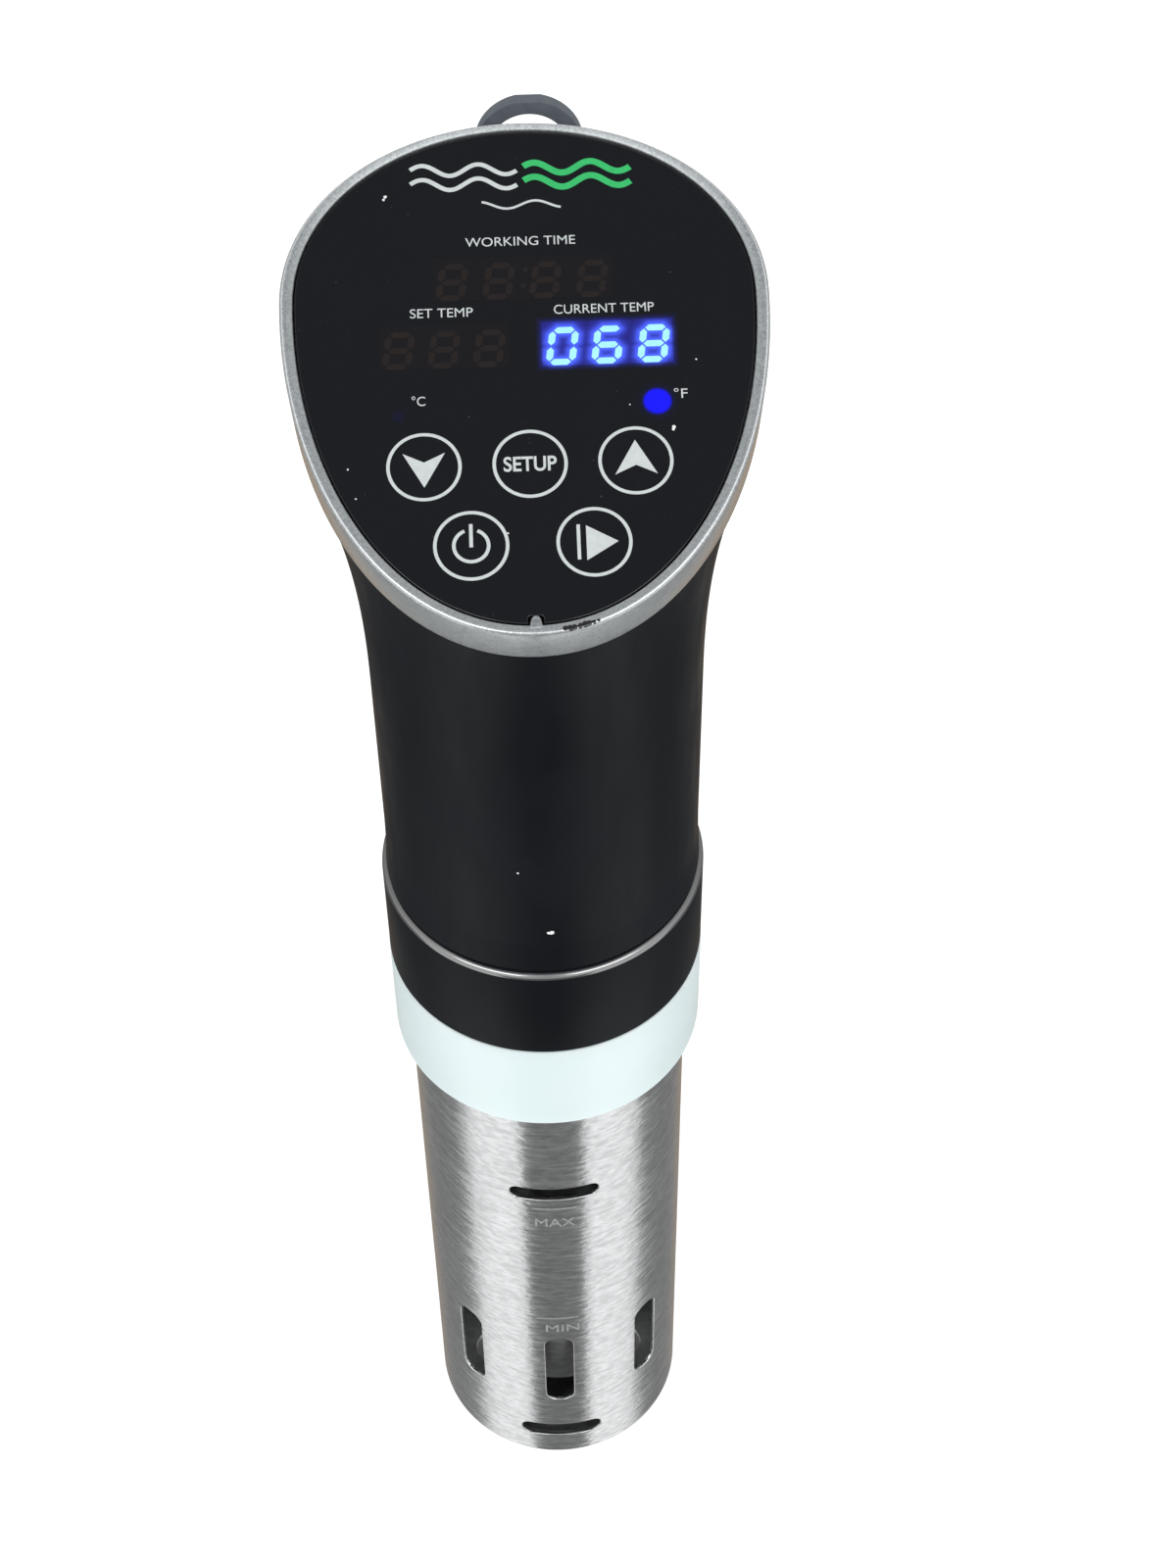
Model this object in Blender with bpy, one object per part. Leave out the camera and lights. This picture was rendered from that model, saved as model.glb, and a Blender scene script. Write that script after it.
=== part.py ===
"""A sous vide circulator: a slotted steel skirt, a light ring, a round grip and a tilted touch head.

The origin is on the axis of the skirt at the surface the circulator stands on. +Z is up and the
touch panel faces -Y. Every size below is in millimetres, and the helpers turn it into metres.
"""

import math

import bmesh
import bpy

MM = 0.001
GAP = 0.3  # clearance between neighbouring pieces
PLAY = 0.3  # clearance around the shaft and the pins

# Steel skirt and its bottom
TUBE_R = 30.0
SHEET = 0.8
TUBE_TOP = 158.0
SLOT_COUNT = 8
SLOT_WIDTH = 6.9
SLOT_LOW, SLOT_HIGH = 26.5, 55.8
LEVEL_SLOT_WIDTH = 19.8
LEVEL_SLOTS = ((8.2, 13.6), (116.8, 121.1))
CAP_PLATE = 1.5
CAP_RIM = 6.5
INTAKE_HOLES = 6
INTAKE_R, INTAKE_CIRCLE = 4.5, 17.0

# Light ring, collar and the inner chassis behind them
RING_R, COLLAR_R = 33.1, 33.0
RING_LOW, RING_HIGH = 150.5, 176.5
COLLAR_HIGH = 202.0
SLEEVE_R = 30.4  # inside of the ring and the collar
CHASSIS_TOP = 201.0
SHELF_LOW, SHELF_HIGH = 181.0, 185.8

# Grip and head casing, split into a front and a rear half
GRIP_R = 31.6
GRIP_FOOT_R = 32.1
GRIP_LOW, GRIP_STRAIGHT, GRIP_TOP = 202.3, 213.0, 255.0
WALL = 2.0
FLARE = 2.6  # exponent of the outward sweep from the grip to the head
HALF_POINTS = 20
FLARE_STEPS = (0.25, 0.45, 0.62, 0.76, 0.88, 1.0)

# Touch head: a flat egg-shaped panel, tilted towards the front
PANEL_TILT = math.radians(22.4)
PANEL_CENTRE = (0.0, 21.1, 326.7)
EGG_SIDE, EGG_FRONT, EGG_BACK = 40.6, 62.2, 34.0
EGG_POWER = 2.05
RIM_SIDE, RIM_FRONT, RIM_BACK = 2.3, 2.0, 1.4
BEZEL_FRONT_HEIGHT, BEZEL_BACK_HEIGHT = 10.0, 12.5
LEDGE = 3.9
GLASS_TOP, GLASS_LOW = -0.8, -2.8
BOARD_TOP, BOARD_LOW = -9.7, -11.3
PART_TOP = -3.4  # top of what stands on the display board
EGG_POINTS = 48

BUTTONS = {
    "down": (-18.1, -32.7),
    "setup": (0.0, -32.7),
    "up": (18.1, -32.7),
    "power": (-10.4, -47.6),
    "start": (10.4, -47.6),
}
DISPLAYS = {
    "time_display": (0.0, 2.8, 30.0),
    "set_temp_display": (-14.0, -10.6, 22.6),
    "current_temp_display": (14.1, -9.8, 22.6),
}
DISPLAY_DEPTH = 10.0
LAMPS = {"led_celsius": (-22.0, -22.6), "led_fahrenheit": (22.6, -21.4)}
BOSS_ANGLES = (75, 285)

# Drive line, all on the axis of the skirt
SHAFT_R = 2.0
SHAFT_LOW, SHAFT_HIGH = 7.5, 243.0
IMPELLER_R = 16.5
IMPELLER_LOW, IMPELLER_HIGH = 9.0, 19.0
FAN_R = 24.0
FAN_LOW, FAN_HIGH = 230.0, 238.0
MOTOR_R = 20.0
MOTOR_LOW, MOTOR_HIGH = 186.1, 224.0

# Heater and sensors under the sealed base
BASE_LOW, BASE_HIGH = 138.0, 146.0
BASE_R = 28.8
COIL_R, COIL_WIRE = 15.0, 2.5
COIL_LOW, COIL_PITCH, COIL_TURNS = 72.0, 9.0, 5
COIL_INNER_LEG = 9.0
FLOW_R = 20.5
FLOW_LOW = 20.0
PROBE_CIRCLE = 24.0
PROBES = {  # angle from +X, radius, lower end
    "temp_probe": (90, 2.0, 60.0),
    "level_probe": (215, 1.5, 62.0),
}

# Pot clip at the back, a spring clip on a cross pin
CLIP_Y, CLIP_Z = 42.0, 189.0
CLIP_WIDTH = 11.8
EAR_INSIDE, EAR_OUTSIDE = 6.3, 9.0
PIN_R = 1.5
BARREL_R = 4.0
CLIP_SCREWS = (180.8, 197.2)

# Power board, screwed to the front casing
BOARD_BACK, BOARD_FRONT = -7.1, -8.7
BOARD_SCREWS = ((-14.0, 256.0, -26.5), (14.0, 288.0, -28.4))  # x, z, where the boss starts
CASING_SCREW_X, CASING_SCREW_Z = 20.0, 246.0

# Cooling slits in the rear casing
VENT_COUNT, VENT_PITCH = 5, 5.2
VENT_WIDTH, VENT_HEIGHT, VENT_Z = 2.4, 20.0, 226.0

# Hanging loop and cord gland at the back of the head
LOOP_R, LOOP_HOLE_R, LOOP_FLAT = 10.0, 7.2, 9.75
LOOP_X, LOOP_Y, LOOP_THICK, LOOP_Z = 1.9, 59.6, 2.6, 330.6
GLAND_Z = 298.0

FINISHES = {  # colour, roughness, metallic
    "brushed_steel": ((0.56, 0.57, 0.57), 0.32, 1.0),
    "bright_steel": ((0.62, 0.62, 0.62), 0.22, 1.0),
    "silver_paint": ((0.55, 0.56, 0.57), 0.35, 0.8),
    "black_gloss": ((0.012, 0.012, 0.013), 0.25, 0.0),
    "black_matte": ((0.02, 0.02, 0.02), 0.6, 0.0),
    "dark_grey": ((0.13, 0.14, 0.15), 0.5, 0.0),
    "milk_white": ((0.8, 0.86, 0.87), 0.35, 0.0),
    "glass_black": ((0.01, 0.011, 0.013), 0.08, 0.0),
    "rubber": ((0.03, 0.03, 0.03), 0.8, 0.0),
    "board_green": ((0.02, 0.12, 0.06), 0.5, 0.0),
    "brass": ((0.7, 0.5, 0.2), 0.3, 1.0),
    "copper": ((0.7, 0.35, 0.2), 0.35, 1.0),
    "blue_lens": ((0.02, 0.06, 0.9), 0.2, 0.0),
}


# ---------------------------------------------------------------- helpers


def clear_scene():
    for item in list(bpy.data.objects):
        bpy.data.objects.remove(item, do_unlink=True)


def empty(name, place, tilt=0.0):
    """An axis or a frame that pieces are parented to."""
    made = bpy.data.objects.new(name, None)
    made.location = [c * MM for c in place]
    made.rotation_euler.x = tilt
    bpy.context.collection.objects.link(made)
    return made


def surface(name, finish):
    colour, roughness, metallic = FINISHES[finish]
    made = bpy.data.materials.new(name)
    made.use_nodes = True
    shader = made.node_tree.nodes["Principled BSDF"]
    shader.inputs["Base Color"].default_value = (*colour, 1.0)
    shader.inputs["Roughness"].default_value = roughness
    shader.inputs["Metallic"].default_value = metallic
    return made


def add_object(name, data, finish, parent, place):
    data.materials.append(surface(name, finish))
    made = bpy.data.objects.new(name, data)
    made.parent = parent
    made.location = [c * MM for c in place]
    bpy.context.collection.objects.link(made)
    return made


def solid(bm, name, finish, parent=None, place=(0, 0, 0)):
    """Turns a millimetre bmesh into a named object with clean outward normals."""
    bmesh.ops.remove_doubles(bm, verts=bm.verts, dist=1e-4)
    bmesh.ops.recalc_face_normals(bm, faces=bm.faces)
    bmesh.ops.scale(bm, vec=(MM, MM, MM), verts=bm.verts)
    mesh = bpy.data.meshes.new(name)
    bm.to_mesh(mesh)
    bm.free()
    mesh.shade_smooth()
    mesh.set_sharp_from_angle(angle=math.radians(35))
    return add_object(name, mesh, finish, parent, place)


def turned(name, finish, profile, segments=32, parent=None, place=(0, 0, 0)):
    """A (radius, height) outline turned about Z. One that starts and ends on the axis stays open there."""
    bm = bmesh.new()
    points = [bm.verts.new((radius, 0, height)) for radius, height in profile]
    on_axis = profile[0][0] == 0
    edges = [bm.edges.new((points[i - 1], points[i])) for i in range(int(on_axis), len(points))]
    bmesh.ops.spin(
        bm, geom=points + edges, axis=(0, 0, 1), angle=math.tau, steps=segments, use_merge=True
    )
    return solid(bm, name, finish, parent, place)


def ring(name, finish, inner, outer, low, high, segments=32, parent=None, place=(0, 0, 0)):
    profile = [(inner, low), (outer, low), (outer, high), (inner, high)]
    return turned(name, finish, profile, segments, parent, place)


def rod(name, finish, radius, low, high, segments=16, parent=None, place=(0, 0, 0)):
    profile = [(0, low), (radius, low), (radius, high), (0, high)]
    return turned(name, finish, profile, segments, parent, place)


AXIS_ORDER = {"X": (2, 0, 1), "Y": (0, 2, 1), "Z": (0, 1, 2)}


def extruded(name, finish, outline, low, high, axis="Z", parent=None, place=(0, 0, 0)):
    """A flat outline carried from low to high along one axis."""
    bm = bmesh.new()
    corners = []
    for a, b in outline:
        flat = (a, b, low)
        corners.append(bm.verts.new([flat[i] for i in AXIS_ORDER[axis]]))
    face = bm.faces.new(corners)
    moved = bmesh.ops.extrude_face_region(bm, geom=[face])["geom"]
    travel = (0, 0, high - low)
    step = [travel[i] for i in AXIS_ORDER[axis]]
    bmesh.ops.translate(bm, vec=step, verts=[v for v in moved if isinstance(v, bmesh.types.BMVert)])
    return solid(bm, name, finish, parent, place)


def box(name, finish, size, place, bevel=0.4, parent=None):
    bm = bmesh.new()
    bmesh.ops.create_cube(bm, size=1.0)
    bmesh.ops.scale(bm, vec=size, verts=bm.verts)
    if bevel:
        bmesh.ops.bevel(bm, geom=bm.edges[:], offset=bevel, segments=1, affect="EDGES")
    return solid(bm, name, finish, parent, place)


def lofted(name, finish, sections, closed, parent=None):
    """Joins equal closed sections. An open run is capped by a strip between its outer and inner points."""
    bm = bmesh.new()
    loops = [[bm.verts.new(point) for point in section] for section in sections]
    count = len(loops[0])
    for i in range(0 if closed else 1, len(loops)):
        for k in range(count):
            bm.faces.new((loops[i - 1][k - 1], loops[i - 1][k], loops[i][k], loops[i][k - 1]))
    if not closed:
        for loop in (loops[0], loops[-1]):
            for k in range(count // 2 - 1):
                bm.faces.new((loop[k], loop[k + 1], loop[count - 2 - k], loop[count - 1 - k]))
    return solid(bm, name, finish, parent)


def wire(name, finish, points, radius, resolution=1, parent=None, place=(0, 0, 0)):
    """A round bar bent along points."""
    curve = bpy.data.curves.new(name, "CURVE")
    curve.dimensions = "3D"
    curve.bevel_depth = radius * MM
    curve.bevel_resolution = resolution
    curve.use_fill_caps = True
    spline = curve.splines.new("POLY")
    spline.points.add(len(points) - 1)
    for target, point in zip(spline.points, points):
        target.co = (*[c * MM for c in point], 1.0)
    return add_object(name, curve, finish, parent, place)


def join(target, tool, operation="DIFFERENCE"):
    """Cuts or adds a helper shape, which stays in the file as a wire outline."""
    tool.hide_render = True
    tool.display_type = "WIRE"
    modifier = target.modifiers.new(tool.name, "BOOLEAN")
    modifier.object = tool
    modifier.operation = operation
    modifier.solver = "EXACT"


def drilled(targets, radius, low, high, axis, place, parent=None, segments=16):
    """Cuts one round hole, or a blind one, along an axis through each of the targets."""
    outline = circle(radius, segments)
    tool = extruded("drill", "black_matte", outline, low, high, axis, parent, place)
    for target in targets:
        join(target, tool)


def circle(radius, segments=16):
    turns = [math.tau * (k + 0.5) / segments for k in range(segments)]
    return [(radius * math.cos(t), radius * math.sin(t)) for t in turns]


def rounded(width, height, radius, centre=(0.0, 0.0), steps=3):
    """A rectangle with round corners."""
    outline = []
    for quarter, (sx, sy) in enumerate(((1, 1), (-1, 1), (-1, -1), (1, -1))):
        for k in range(steps + 1):
            turn = math.pi / 2 * (quarter + k / steps)
            x = centre[0] + sx * (width / 2 - radius) + radius * math.cos(turn)
            outline.append((x, centre[1] + sy * (height / 2 - radius) + radius * math.sin(turn)))
    return outline


# ---------------------------------------------------------------- skirt


def make_skirt(axis):
    inside = TUBE_R - SHEET
    profile = [(inside, 0), (TUBE_R - 0.4, 0), (TUBE_R, 0.4), (TUBE_R, TUBE_TOP), (inside, TUBE_TOP)]
    skirt = turned("steel_skirt", "brushed_steel", profile, 48, axis)
    middle = (SLOT_LOW + SLOT_HIGH) / 2
    slot = rounded(SLOT_WIDTH, SLOT_HIGH - SLOT_LOW, 3.0, (0, middle))
    for k in range(SLOT_COUNT // 2):
        bar = extruded("slot_pair", "black_matte", slot, -40, 40, "Y")
        bar.rotation_euler.z = math.tau * k / SLOT_COUNT
        join(skirt, bar)
    for low, high in LEVEL_SLOTS:
        outline = rounded(LEVEL_SLOT_WIDTH, high - low, (high - low) * 0.45, (0, (low + high) / 2))
        join(skirt, extruded("level_slot", "black_matte", outline, -40, -20, "Y"))

    rim = inside - 0.4
    profile = [(0, 0), (rim, 0), (rim, CAP_RIM), (rim - 1, CAP_RIM), (rim - 1, CAP_PLATE), (0, CAP_PLATE)]
    cap = turned("bottom_cap", "brushed_steel", profile, 32, axis)
    for k in range(INTAKE_HOLES):
        turn = math.tau * k / INTAKE_HOLES
        place = (INTAKE_CIRCLE * math.cos(turn), INTAKE_CIRCLE * math.sin(turn), 0)
        drilled([cap], INTAKE_R, -2, 4, "Z", place, axis, 16)


# ---------------------------------------------------------------- middle


def make_middle():
    """The light ring and the collar, and the chassis that carries them."""
    profile = [
        (SLEEVE_R, RING_LOW),
        (RING_R - 0.9, RING_LOW),
        (RING_R - 0.2, RING_LOW + 0.4),
        (RING_R, RING_LOW + 1.2),
        (RING_R, RING_HIGH),
        (SLEEVE_R, RING_HIGH),
    ]
    turned("light_ring", "milk_white", profile, 48)
    low = RING_HIGH + GAP
    profile = [
        (SLEEVE_R, low),
        (COLLAR_R, low),
        (COLLAR_R, COLLAR_HIGH - 1.0),
        (COLLAR_R - 0.3, COLLAR_HIGH - 0.3),
        (COLLAR_R - 0.9, COLLAR_HIGH),
        (SLEEVE_R, COLLAR_HIGH),
    ]
    collar = turned("collar", "black_gloss", profile, 48)

    outer, neck, wide = BASE_R, 26.8, 30.0
    step = TUBE_TOP + 0.5
    profile = [
        (outer, BASE_HIGH + GAP),
        (outer, step),
        (neck, step),
        (neck, RING_HIGH),
        (wide, RING_HIGH),
        (wide, CHASSIS_TOP),
        (wide - WALL, CHASSIS_TOP),
        (wide - WALL, SHELF_HIGH),
        (11.0, SHELF_HIGH),
        (11.0, SHELF_LOW),
        (neck - WALL, SHELF_LOW),
        (neck - WALL, step),
        (outer - WALL, step - WALL),
        (outer - WALL, BASE_HIGH + GAP),
    ]
    chassis = turned("chassis", "black_matte", profile, 32)
    ring("light_board", "board_green", neck + GAP, wide, RING_HIGH - 1.7, RING_HIGH - GAP)
    return collar, chassis


# ---------------------------------------------------------------- head outline


def egg(angle, side=0.0, front=0.0, back=0.0):
    """A point of the panel's outline, grown by side, front and back. Angle 0 is the front tip."""
    sine, cosine = math.sin(angle), math.cos(angle)
    power = 2 / EGG_POWER
    u = (EGG_SIDE + side) * math.copysign(abs(sine) ** power, sine)
    reach = EGG_FRONT + front if cosine > 0 else EGG_BACK + back
    return u, -reach * math.copysign(abs(cosine) ** power, cosine)


def egg_inset(angle, inset):
    return egg(angle, -inset, -inset, -inset)


def egg_loop(inset, points=EGG_POINTS):
    return [egg_inset(math.tau * k / points, inset) for k in range(points)]


def bezel_height(v):
    """The bezel's side is deeper at the back than at the front."""
    share = (v + EGG_FRONT) / (EGG_FRONT + EGG_BACK)
    return BEZEL_FRONT_HEIGHT + (BEZEL_BACK_HEIGHT - BEZEL_FRONT_HEIGHT) * share


def to_world(u, v, height):
    """From the panel's own axes to the circulator's."""
    sine, cosine = math.sin(PANEL_TILT), math.cos(PANEL_TILT)
    y = PANEL_CENTRE[1] + v * cosine - height * sine
    return u, y, PANEL_CENTRE[2] + v * sine + height * cosine


# ---------------------------------------------------------------- casing


def casing_point(angle, share, inset):
    """A point of the casing above GRIP_TOP, share of the way up to the bezel, inset from its outside."""
    grip = (GRIP_R - inset) * math.sin(angle), -(GRIP_R - inset) * math.cos(angle)
    grow = 0.4 + inset
    u, v = egg(angle, RIM_SIDE - grow, RIM_FRONT - grow, RIM_BACK - grow)
    rim = to_world(u, v, -bezel_height(v) - GAP)
    sweep = share**FLARE
    x, y = (a + (b - a) * sweep for a, b in zip(grip, rim))
    return x, y, GRIP_TOP + (rim[2] - GRIP_TOP) * share


def casing_section(height, radius, middle):
    """Half a ring of the straight grip: its outside one way and its inside back."""
    angles = half_angles(middle)
    outside = [(radius * math.sin(t), -radius * math.cos(t), height) for t in angles]
    bore = GRIP_R - WALL
    inside = [(bore * math.sin(t), -bore * math.cos(t), height) for t in angles]
    return outside + inside[::-1]


def half_angles(middle):
    """Angles across one half, short of the seam by half its gap."""
    reach = math.pi / 2 - GAP / 2 / GRIP_R
    return [middle + reach * (2 * k / HALF_POINTS - 1) for k in range(HALF_POINTS + 1)]


def casing_half(name, middle):
    foot = ((GRIP_LOW, GRIP_FOOT_R - 0.7), (GRIP_LOW + 0.8, GRIP_FOOT_R), (206.0, 31.9), (209.5, 31.7))
    straight = foot + ((GRIP_STRAIGHT, GRIP_R), (GRIP_TOP, GRIP_R))
    sections = [casing_section(height, radius, middle) for height, radius in straight]
    for share in FLARE_STEPS:
        outside = [casing_point(t, share, 0) for t in half_angles(middle)]
        inside = [casing_point(t, share, WALL) for t in half_angles(middle)]
        sections.append(outside + inside[::-1])
    return lofted(name, "black_gloss", sections, closed=False)


def make_casing():
    front = casing_half("front_casing", 0.0)
    rear = casing_half("rear_casing", math.pi)
    for side in (-1, 1):
        place = (side * CASING_SCREW_X, 0, CASING_SCREW_Z)
        boss = extruded("front_boss", "black_gloss", circle(3.2), -21.2, -GAP, "Y", None, place)
        join(front, boss, "UNION")
        drilled([front], SHAFT_R - 0.5, -12, 1, "Y", place)
        boss = extruded("rear_boss", "black_gloss", circle(4.0), GAP, 20.3, "Y", None, place)
        join(rear, boss, "UNION")
        drilled([rear], 1.7, -1, 30, "Y", place)
        drilled([rear], 2.9, 14, 30, "Y", place)
        name = "casing_screw_right" if side > 0 else "casing_screw_left"
        screw(name, (side * CASING_SCREW_X, 14 + GAP, CASING_SCREW_Z), 24, "back")
    for x, z, start in BOARD_SCREWS:
        end = BOARD_FRONT - GAP
        boss = extruded("board_boss", "black_gloss", circle(2.6), start, end, "Y", None, (x, 0, z))
        join(front, boss, "UNION")
        drilled([front], 1.5, -18, BOARD_FRONT, "Y", (x, 0, z))
    slit = rounded(VENT_WIDTH, VENT_HEIGHT, 1.1, (0, VENT_Z))
    for k in range(VENT_COUNT):
        x = (k - (VENT_COUNT - 1) / 2) * VENT_PITCH
        join(rear, extruded("vent", "black_matte", slit, 20, 40, "Y", None, (x, 0, 0)))
    return front, rear


def screw(name, place, length, facing):
    """A pan-head screw whose head stands on place, facing back (+Y) or down, with its shank behind it."""
    profile = [(0, -length), (1.2, -length), (1.2, 0), (2.4, 0), (2.4, 0.9), (1.6, 1.5), (0, 1.5)]
    made = turned(name, "bright_steel", profile, 10)
    made.location = [c * MM for c in place]
    made.rotation_euler.x = -math.pi / 2 if facing == "back" else math.pi + PANEL_TILT
    return made


# ---------------------------------------------------------------- head


def make_bezel(frame):
    sections = []
    for k in range(EGG_POINTS):
        angle = math.tau * k / EGG_POINTS
        section = []
        depth = -bezel_height(egg(angle)[1])
        for share, height in ((1.0, depth), (1.0, -0.9), (0.75, -0.15), (0.3, 0.0)):
            u, v = egg(angle, RIM_SIDE * share, RIM_FRONT * share, RIM_BACK * share)
            section.append((u, v, height))
        under = -LEDGE - 1.5
        inner = ((0.0, -0.5), (0.0, -LEDGE), (3.0, -LEDGE), (3.0, under), (-0.2, under), (-0.2, depth))
        for inset, height in inner:
            section.append((*egg_inset(angle, inset), height))
        sections.append(section)
    bezel = lofted("bezel", "silver_paint", sections, closed=True, parent=frame)
    nub = box("nub", "silver_paint", (2.2, 2.6, 1.4), (0, -EGG_FRONT + 0.2, -0.75), 0.3, frame)
    join(bezel, nub, "UNION")
    return bezel


def make_panel(frame):
    panel = extruded("touch_panel", "glass_black", egg_loop(GAP), GLASS_LOW, GLASS_TOP, "Z", frame)
    notch = box("notch", "black_matte", (3.0, 3.4, 3.2), (0, -EGG_FRONT + 0.4, -1.2), 0, frame)
    join(panel, notch)
    sections = []
    for angle in (math.tau * k / 32 for k in range(32)):
        edges = ((0.5, GLASS_LOW - GAP), (0.5, -LEDGE + GAP), (2.6, -LEDGE + GAP), (2.6, GLASS_LOW - GAP))
        sections.append([(*egg_inset(angle, inset), height) for inset, height in edges])
    lofted("panel_gasket", "rubber", sections, closed=True, parent=frame)


def make_display_board(frame, bezel):
    board = extruded("display_board", "board_green", egg_loop(2.4, 32), BOARD_LOW, BOARD_TOP, "Z", frame)
    for side, degrees in zip(("right", "left"), BOSS_ANGLES):
        u, v = egg_inset(math.radians(degrees), 5.0)
        low, high = BOARD_TOP + GAP, -LEDGE - 0.4
        boss = extruded("boss", "silver_paint", circle(3.0), low, high, "Z", frame, (u, v, 0))
        join(bezel, boss, "UNION")
        drilled([bezel], 1.5, BOARD_TOP, -6.0, "Z", (u, v, 0), frame)
        drilled([board], 1.7, BOARD_LOW - 1, BOARD_TOP + 1, "Z", (u, v, 0), frame)
        screw(f"display_screw_{side}", to_world(u, v, BOARD_LOW - GAP), 4.6, "down")

    height = PART_TOP - BOARD_TOP - GAP
    middle = PART_TOP - height / 2
    for name, (u, v, width) in DISPLAYS.items():
        box(name, "black_matte", (width, DISPLAY_DEPTH, height), (u, v, middle), 0.3, frame)
    for name, (u, v) in LAMPS.items():
        low = BOARD_TOP + GAP
        profile = [(0, low), (2.8, low), (2.8, low + 1), (2.5, low + 1), (2.5, -4.6), (1.6, -3.7)]
        profile.append((0, PART_TOP))
        turned(name, "blue_lens", profile, 12, frame, (u, v, 0))
    for name, (u, v) in BUTTONS.items():
        coil = helix(4.2, BOARD_TOP + 0.7, GLASS_LOW - 0.7, 3, 6)
        wire(f"touch_spring_{name}", "brass", coil, 0.35, 0, frame, (u, v, 0))
    ring("buzzer", "black_matte", 1.2, 6.0, BOARD_LOW - 6, BOARD_LOW - GAP, 16, frame, (0, 6, 0))


def helix(radius, low, high, turns, steps, start=0.0):
    """Points of a coil about Z, with steps points a turn."""
    count = int(turns * steps)
    points = []
    for k in range(count + 1):
        turn = start + math.tau * k / steps
        points.append((radius * math.cos(turn), radius * math.sin(turn), low + (high - low) * k / count))
    return points


def make_loop(rear):
    """A hanging eye whose stem runs through the back of the casing."""
    back = LOOP_Y + LOOP_THICK
    side = [
        (back, LOOP_Z - 5),
        (back, LOOP_Z - 13),
        (back - 3, LOOP_Z - 16.5),
        (44, LOOP_Z - 20),
        (44, LOOP_Z - 15),
        (LOOP_Y - 2, LOOP_Z - 12),
        (LOOP_Y, LOOP_Z - 9.5),
        (LOOP_Y, LOOP_Z - 5),
    ]
    loop = extruded("hanging_loop", "dark_grey", side, LOOP_X - 6, LOOP_X + 6, "X")
    outline = [(a, min(b, LOOP_FLAT)) for a, b in circle(LOOP_R, 24)]
    eye = extruded("eye", "dark_grey", outline, LOOP_Y, back, "Y", None, (LOOP_X, 0, LOOP_Z))
    join(loop, eye, "UNION")
    drilled([loop], LOOP_HOLE_R, LOOP_Y - 2, back + 2, "Y", (LOOP_X, 0, LOOP_Z), None, 20)
    pocket = [
        (40, LOOP_Z - 21.4),
        (back - 2, LOOP_Z - 16.9),
        (LOOP_Y - 2, LOOP_Z - 11.6),
        (40, LOOP_Z - 15.2),
    ]
    join(rear, extruded("pocket", "black_matte", pocket, LOOP_X - 6.3, LOOP_X + 6.3, "X"))


def make_gland(rear):
    """The bush that the mains lead leaves by, square to the casing's back."""
    share = 0.0
    while casing_point(math.pi, share, 0)[2] < GLAND_Z:
        share += 0.001
    here, above = casing_point(math.pi, share, 0), casing_point(math.pi, share + 0.02, 0)
    slope = math.atan2(above[2] - here[2], above[1] - here[1])
    frame = empty("gland_axis", here, slope - math.pi)
    profile = [(3.6, -5), (6.0, -5), (6.0, 1.0), (8.0, 1.0), (8.0, 2.6), (6.6, 4.2), (3.6, 4.2)]
    turned("cord_gland", "rubber", profile, 20, frame)
    drilled([rear], 6.0 + GAP, -8, 8, "Z", (0, 0, 0), frame, 20)


# ---------------------------------------------------------------- power electronics


def make_power_board():
    size = (36, BOARD_BACK - BOARD_FRONT, 44)
    board = box("power_board", "board_green", size, (0, (BOARD_BACK + BOARD_FRONT) / 2, 272), 0)
    for (x, z, _), name in zip(BOARD_SCREWS, ("board_screw_lower", "board_screw_upper")):
        drilled([board], 1.7, -12, -4, "Y", (x, 0, z))
        screw(name, (x, BOARD_BACK + GAP, z), 9, "back")
    face = BOARD_BACK + GAP
    box("transformer", "copper", (18, 14, 18), (-7, face + 7, 284), 0.6)
    box("heater_relay", "black_matte", (19, 15, 15), (5.5, face + 7.5, 259.5), 0.5)
    can = rod("filter_capacitor", "dark_grey", 6.5, 0, 20, 24, None, (9, face, 274.2))
    can.rotation_euler.x = -math.pi / 2


# ---------------------------------------------------------------- motor and drive line


def make_motor():
    hole = 5.8
    can = [(hole, MOTOR_LOW), (MOTOR_R, MOTOR_LOW), (MOTOR_R, MOTOR_HIGH), (MOTOR_R - 1.4, MOTOR_HIGH)]
    can += [(MOTOR_R - 1.4, MOTOR_LOW + 1.5), (hole, MOTOR_LOW + 1.5)]
    turned("motor_can", "bright_steel", can, 28)
    ring("motor_cap", "black_matte", hole, MOTOR_R, MOTOR_HIGH + GAP, MOTOR_HIGH + 2.3, 28)
    ring("motor_stator", "copper", 13.0, 18.3, 192.0, 220.0, 24)
    bore = SHAFT_R + PLAY
    ring("lower_bearing", "brass", bore, hole - GAP, 186.3, 190.3, 16)
    ring("upper_bearing", "brass", bore, hole - GAP, 223.3, 227.3, 16)


def bladed(name, finish, hub, tip, blades, thick, low, high, axis):
    """A hub with straight radial blades, before its bore is drilled."""
    outline = []
    for k in range(blades):
        turn = math.tau * k / blades
        root = math.asin(thick / 2 / hub)
        end = math.asin(thick / 2 / tip)
        pitch = math.tau / blades
        steps = ((hub, -root), (tip, -end), (tip, end), (hub, root), (hub, pitch / 2))
        outline += [(r * math.cos(turn + a), r * math.sin(turn + a)) for r, a in steps]
    return extruded(name, finish, outline, low, high, "Z", axis)


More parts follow.
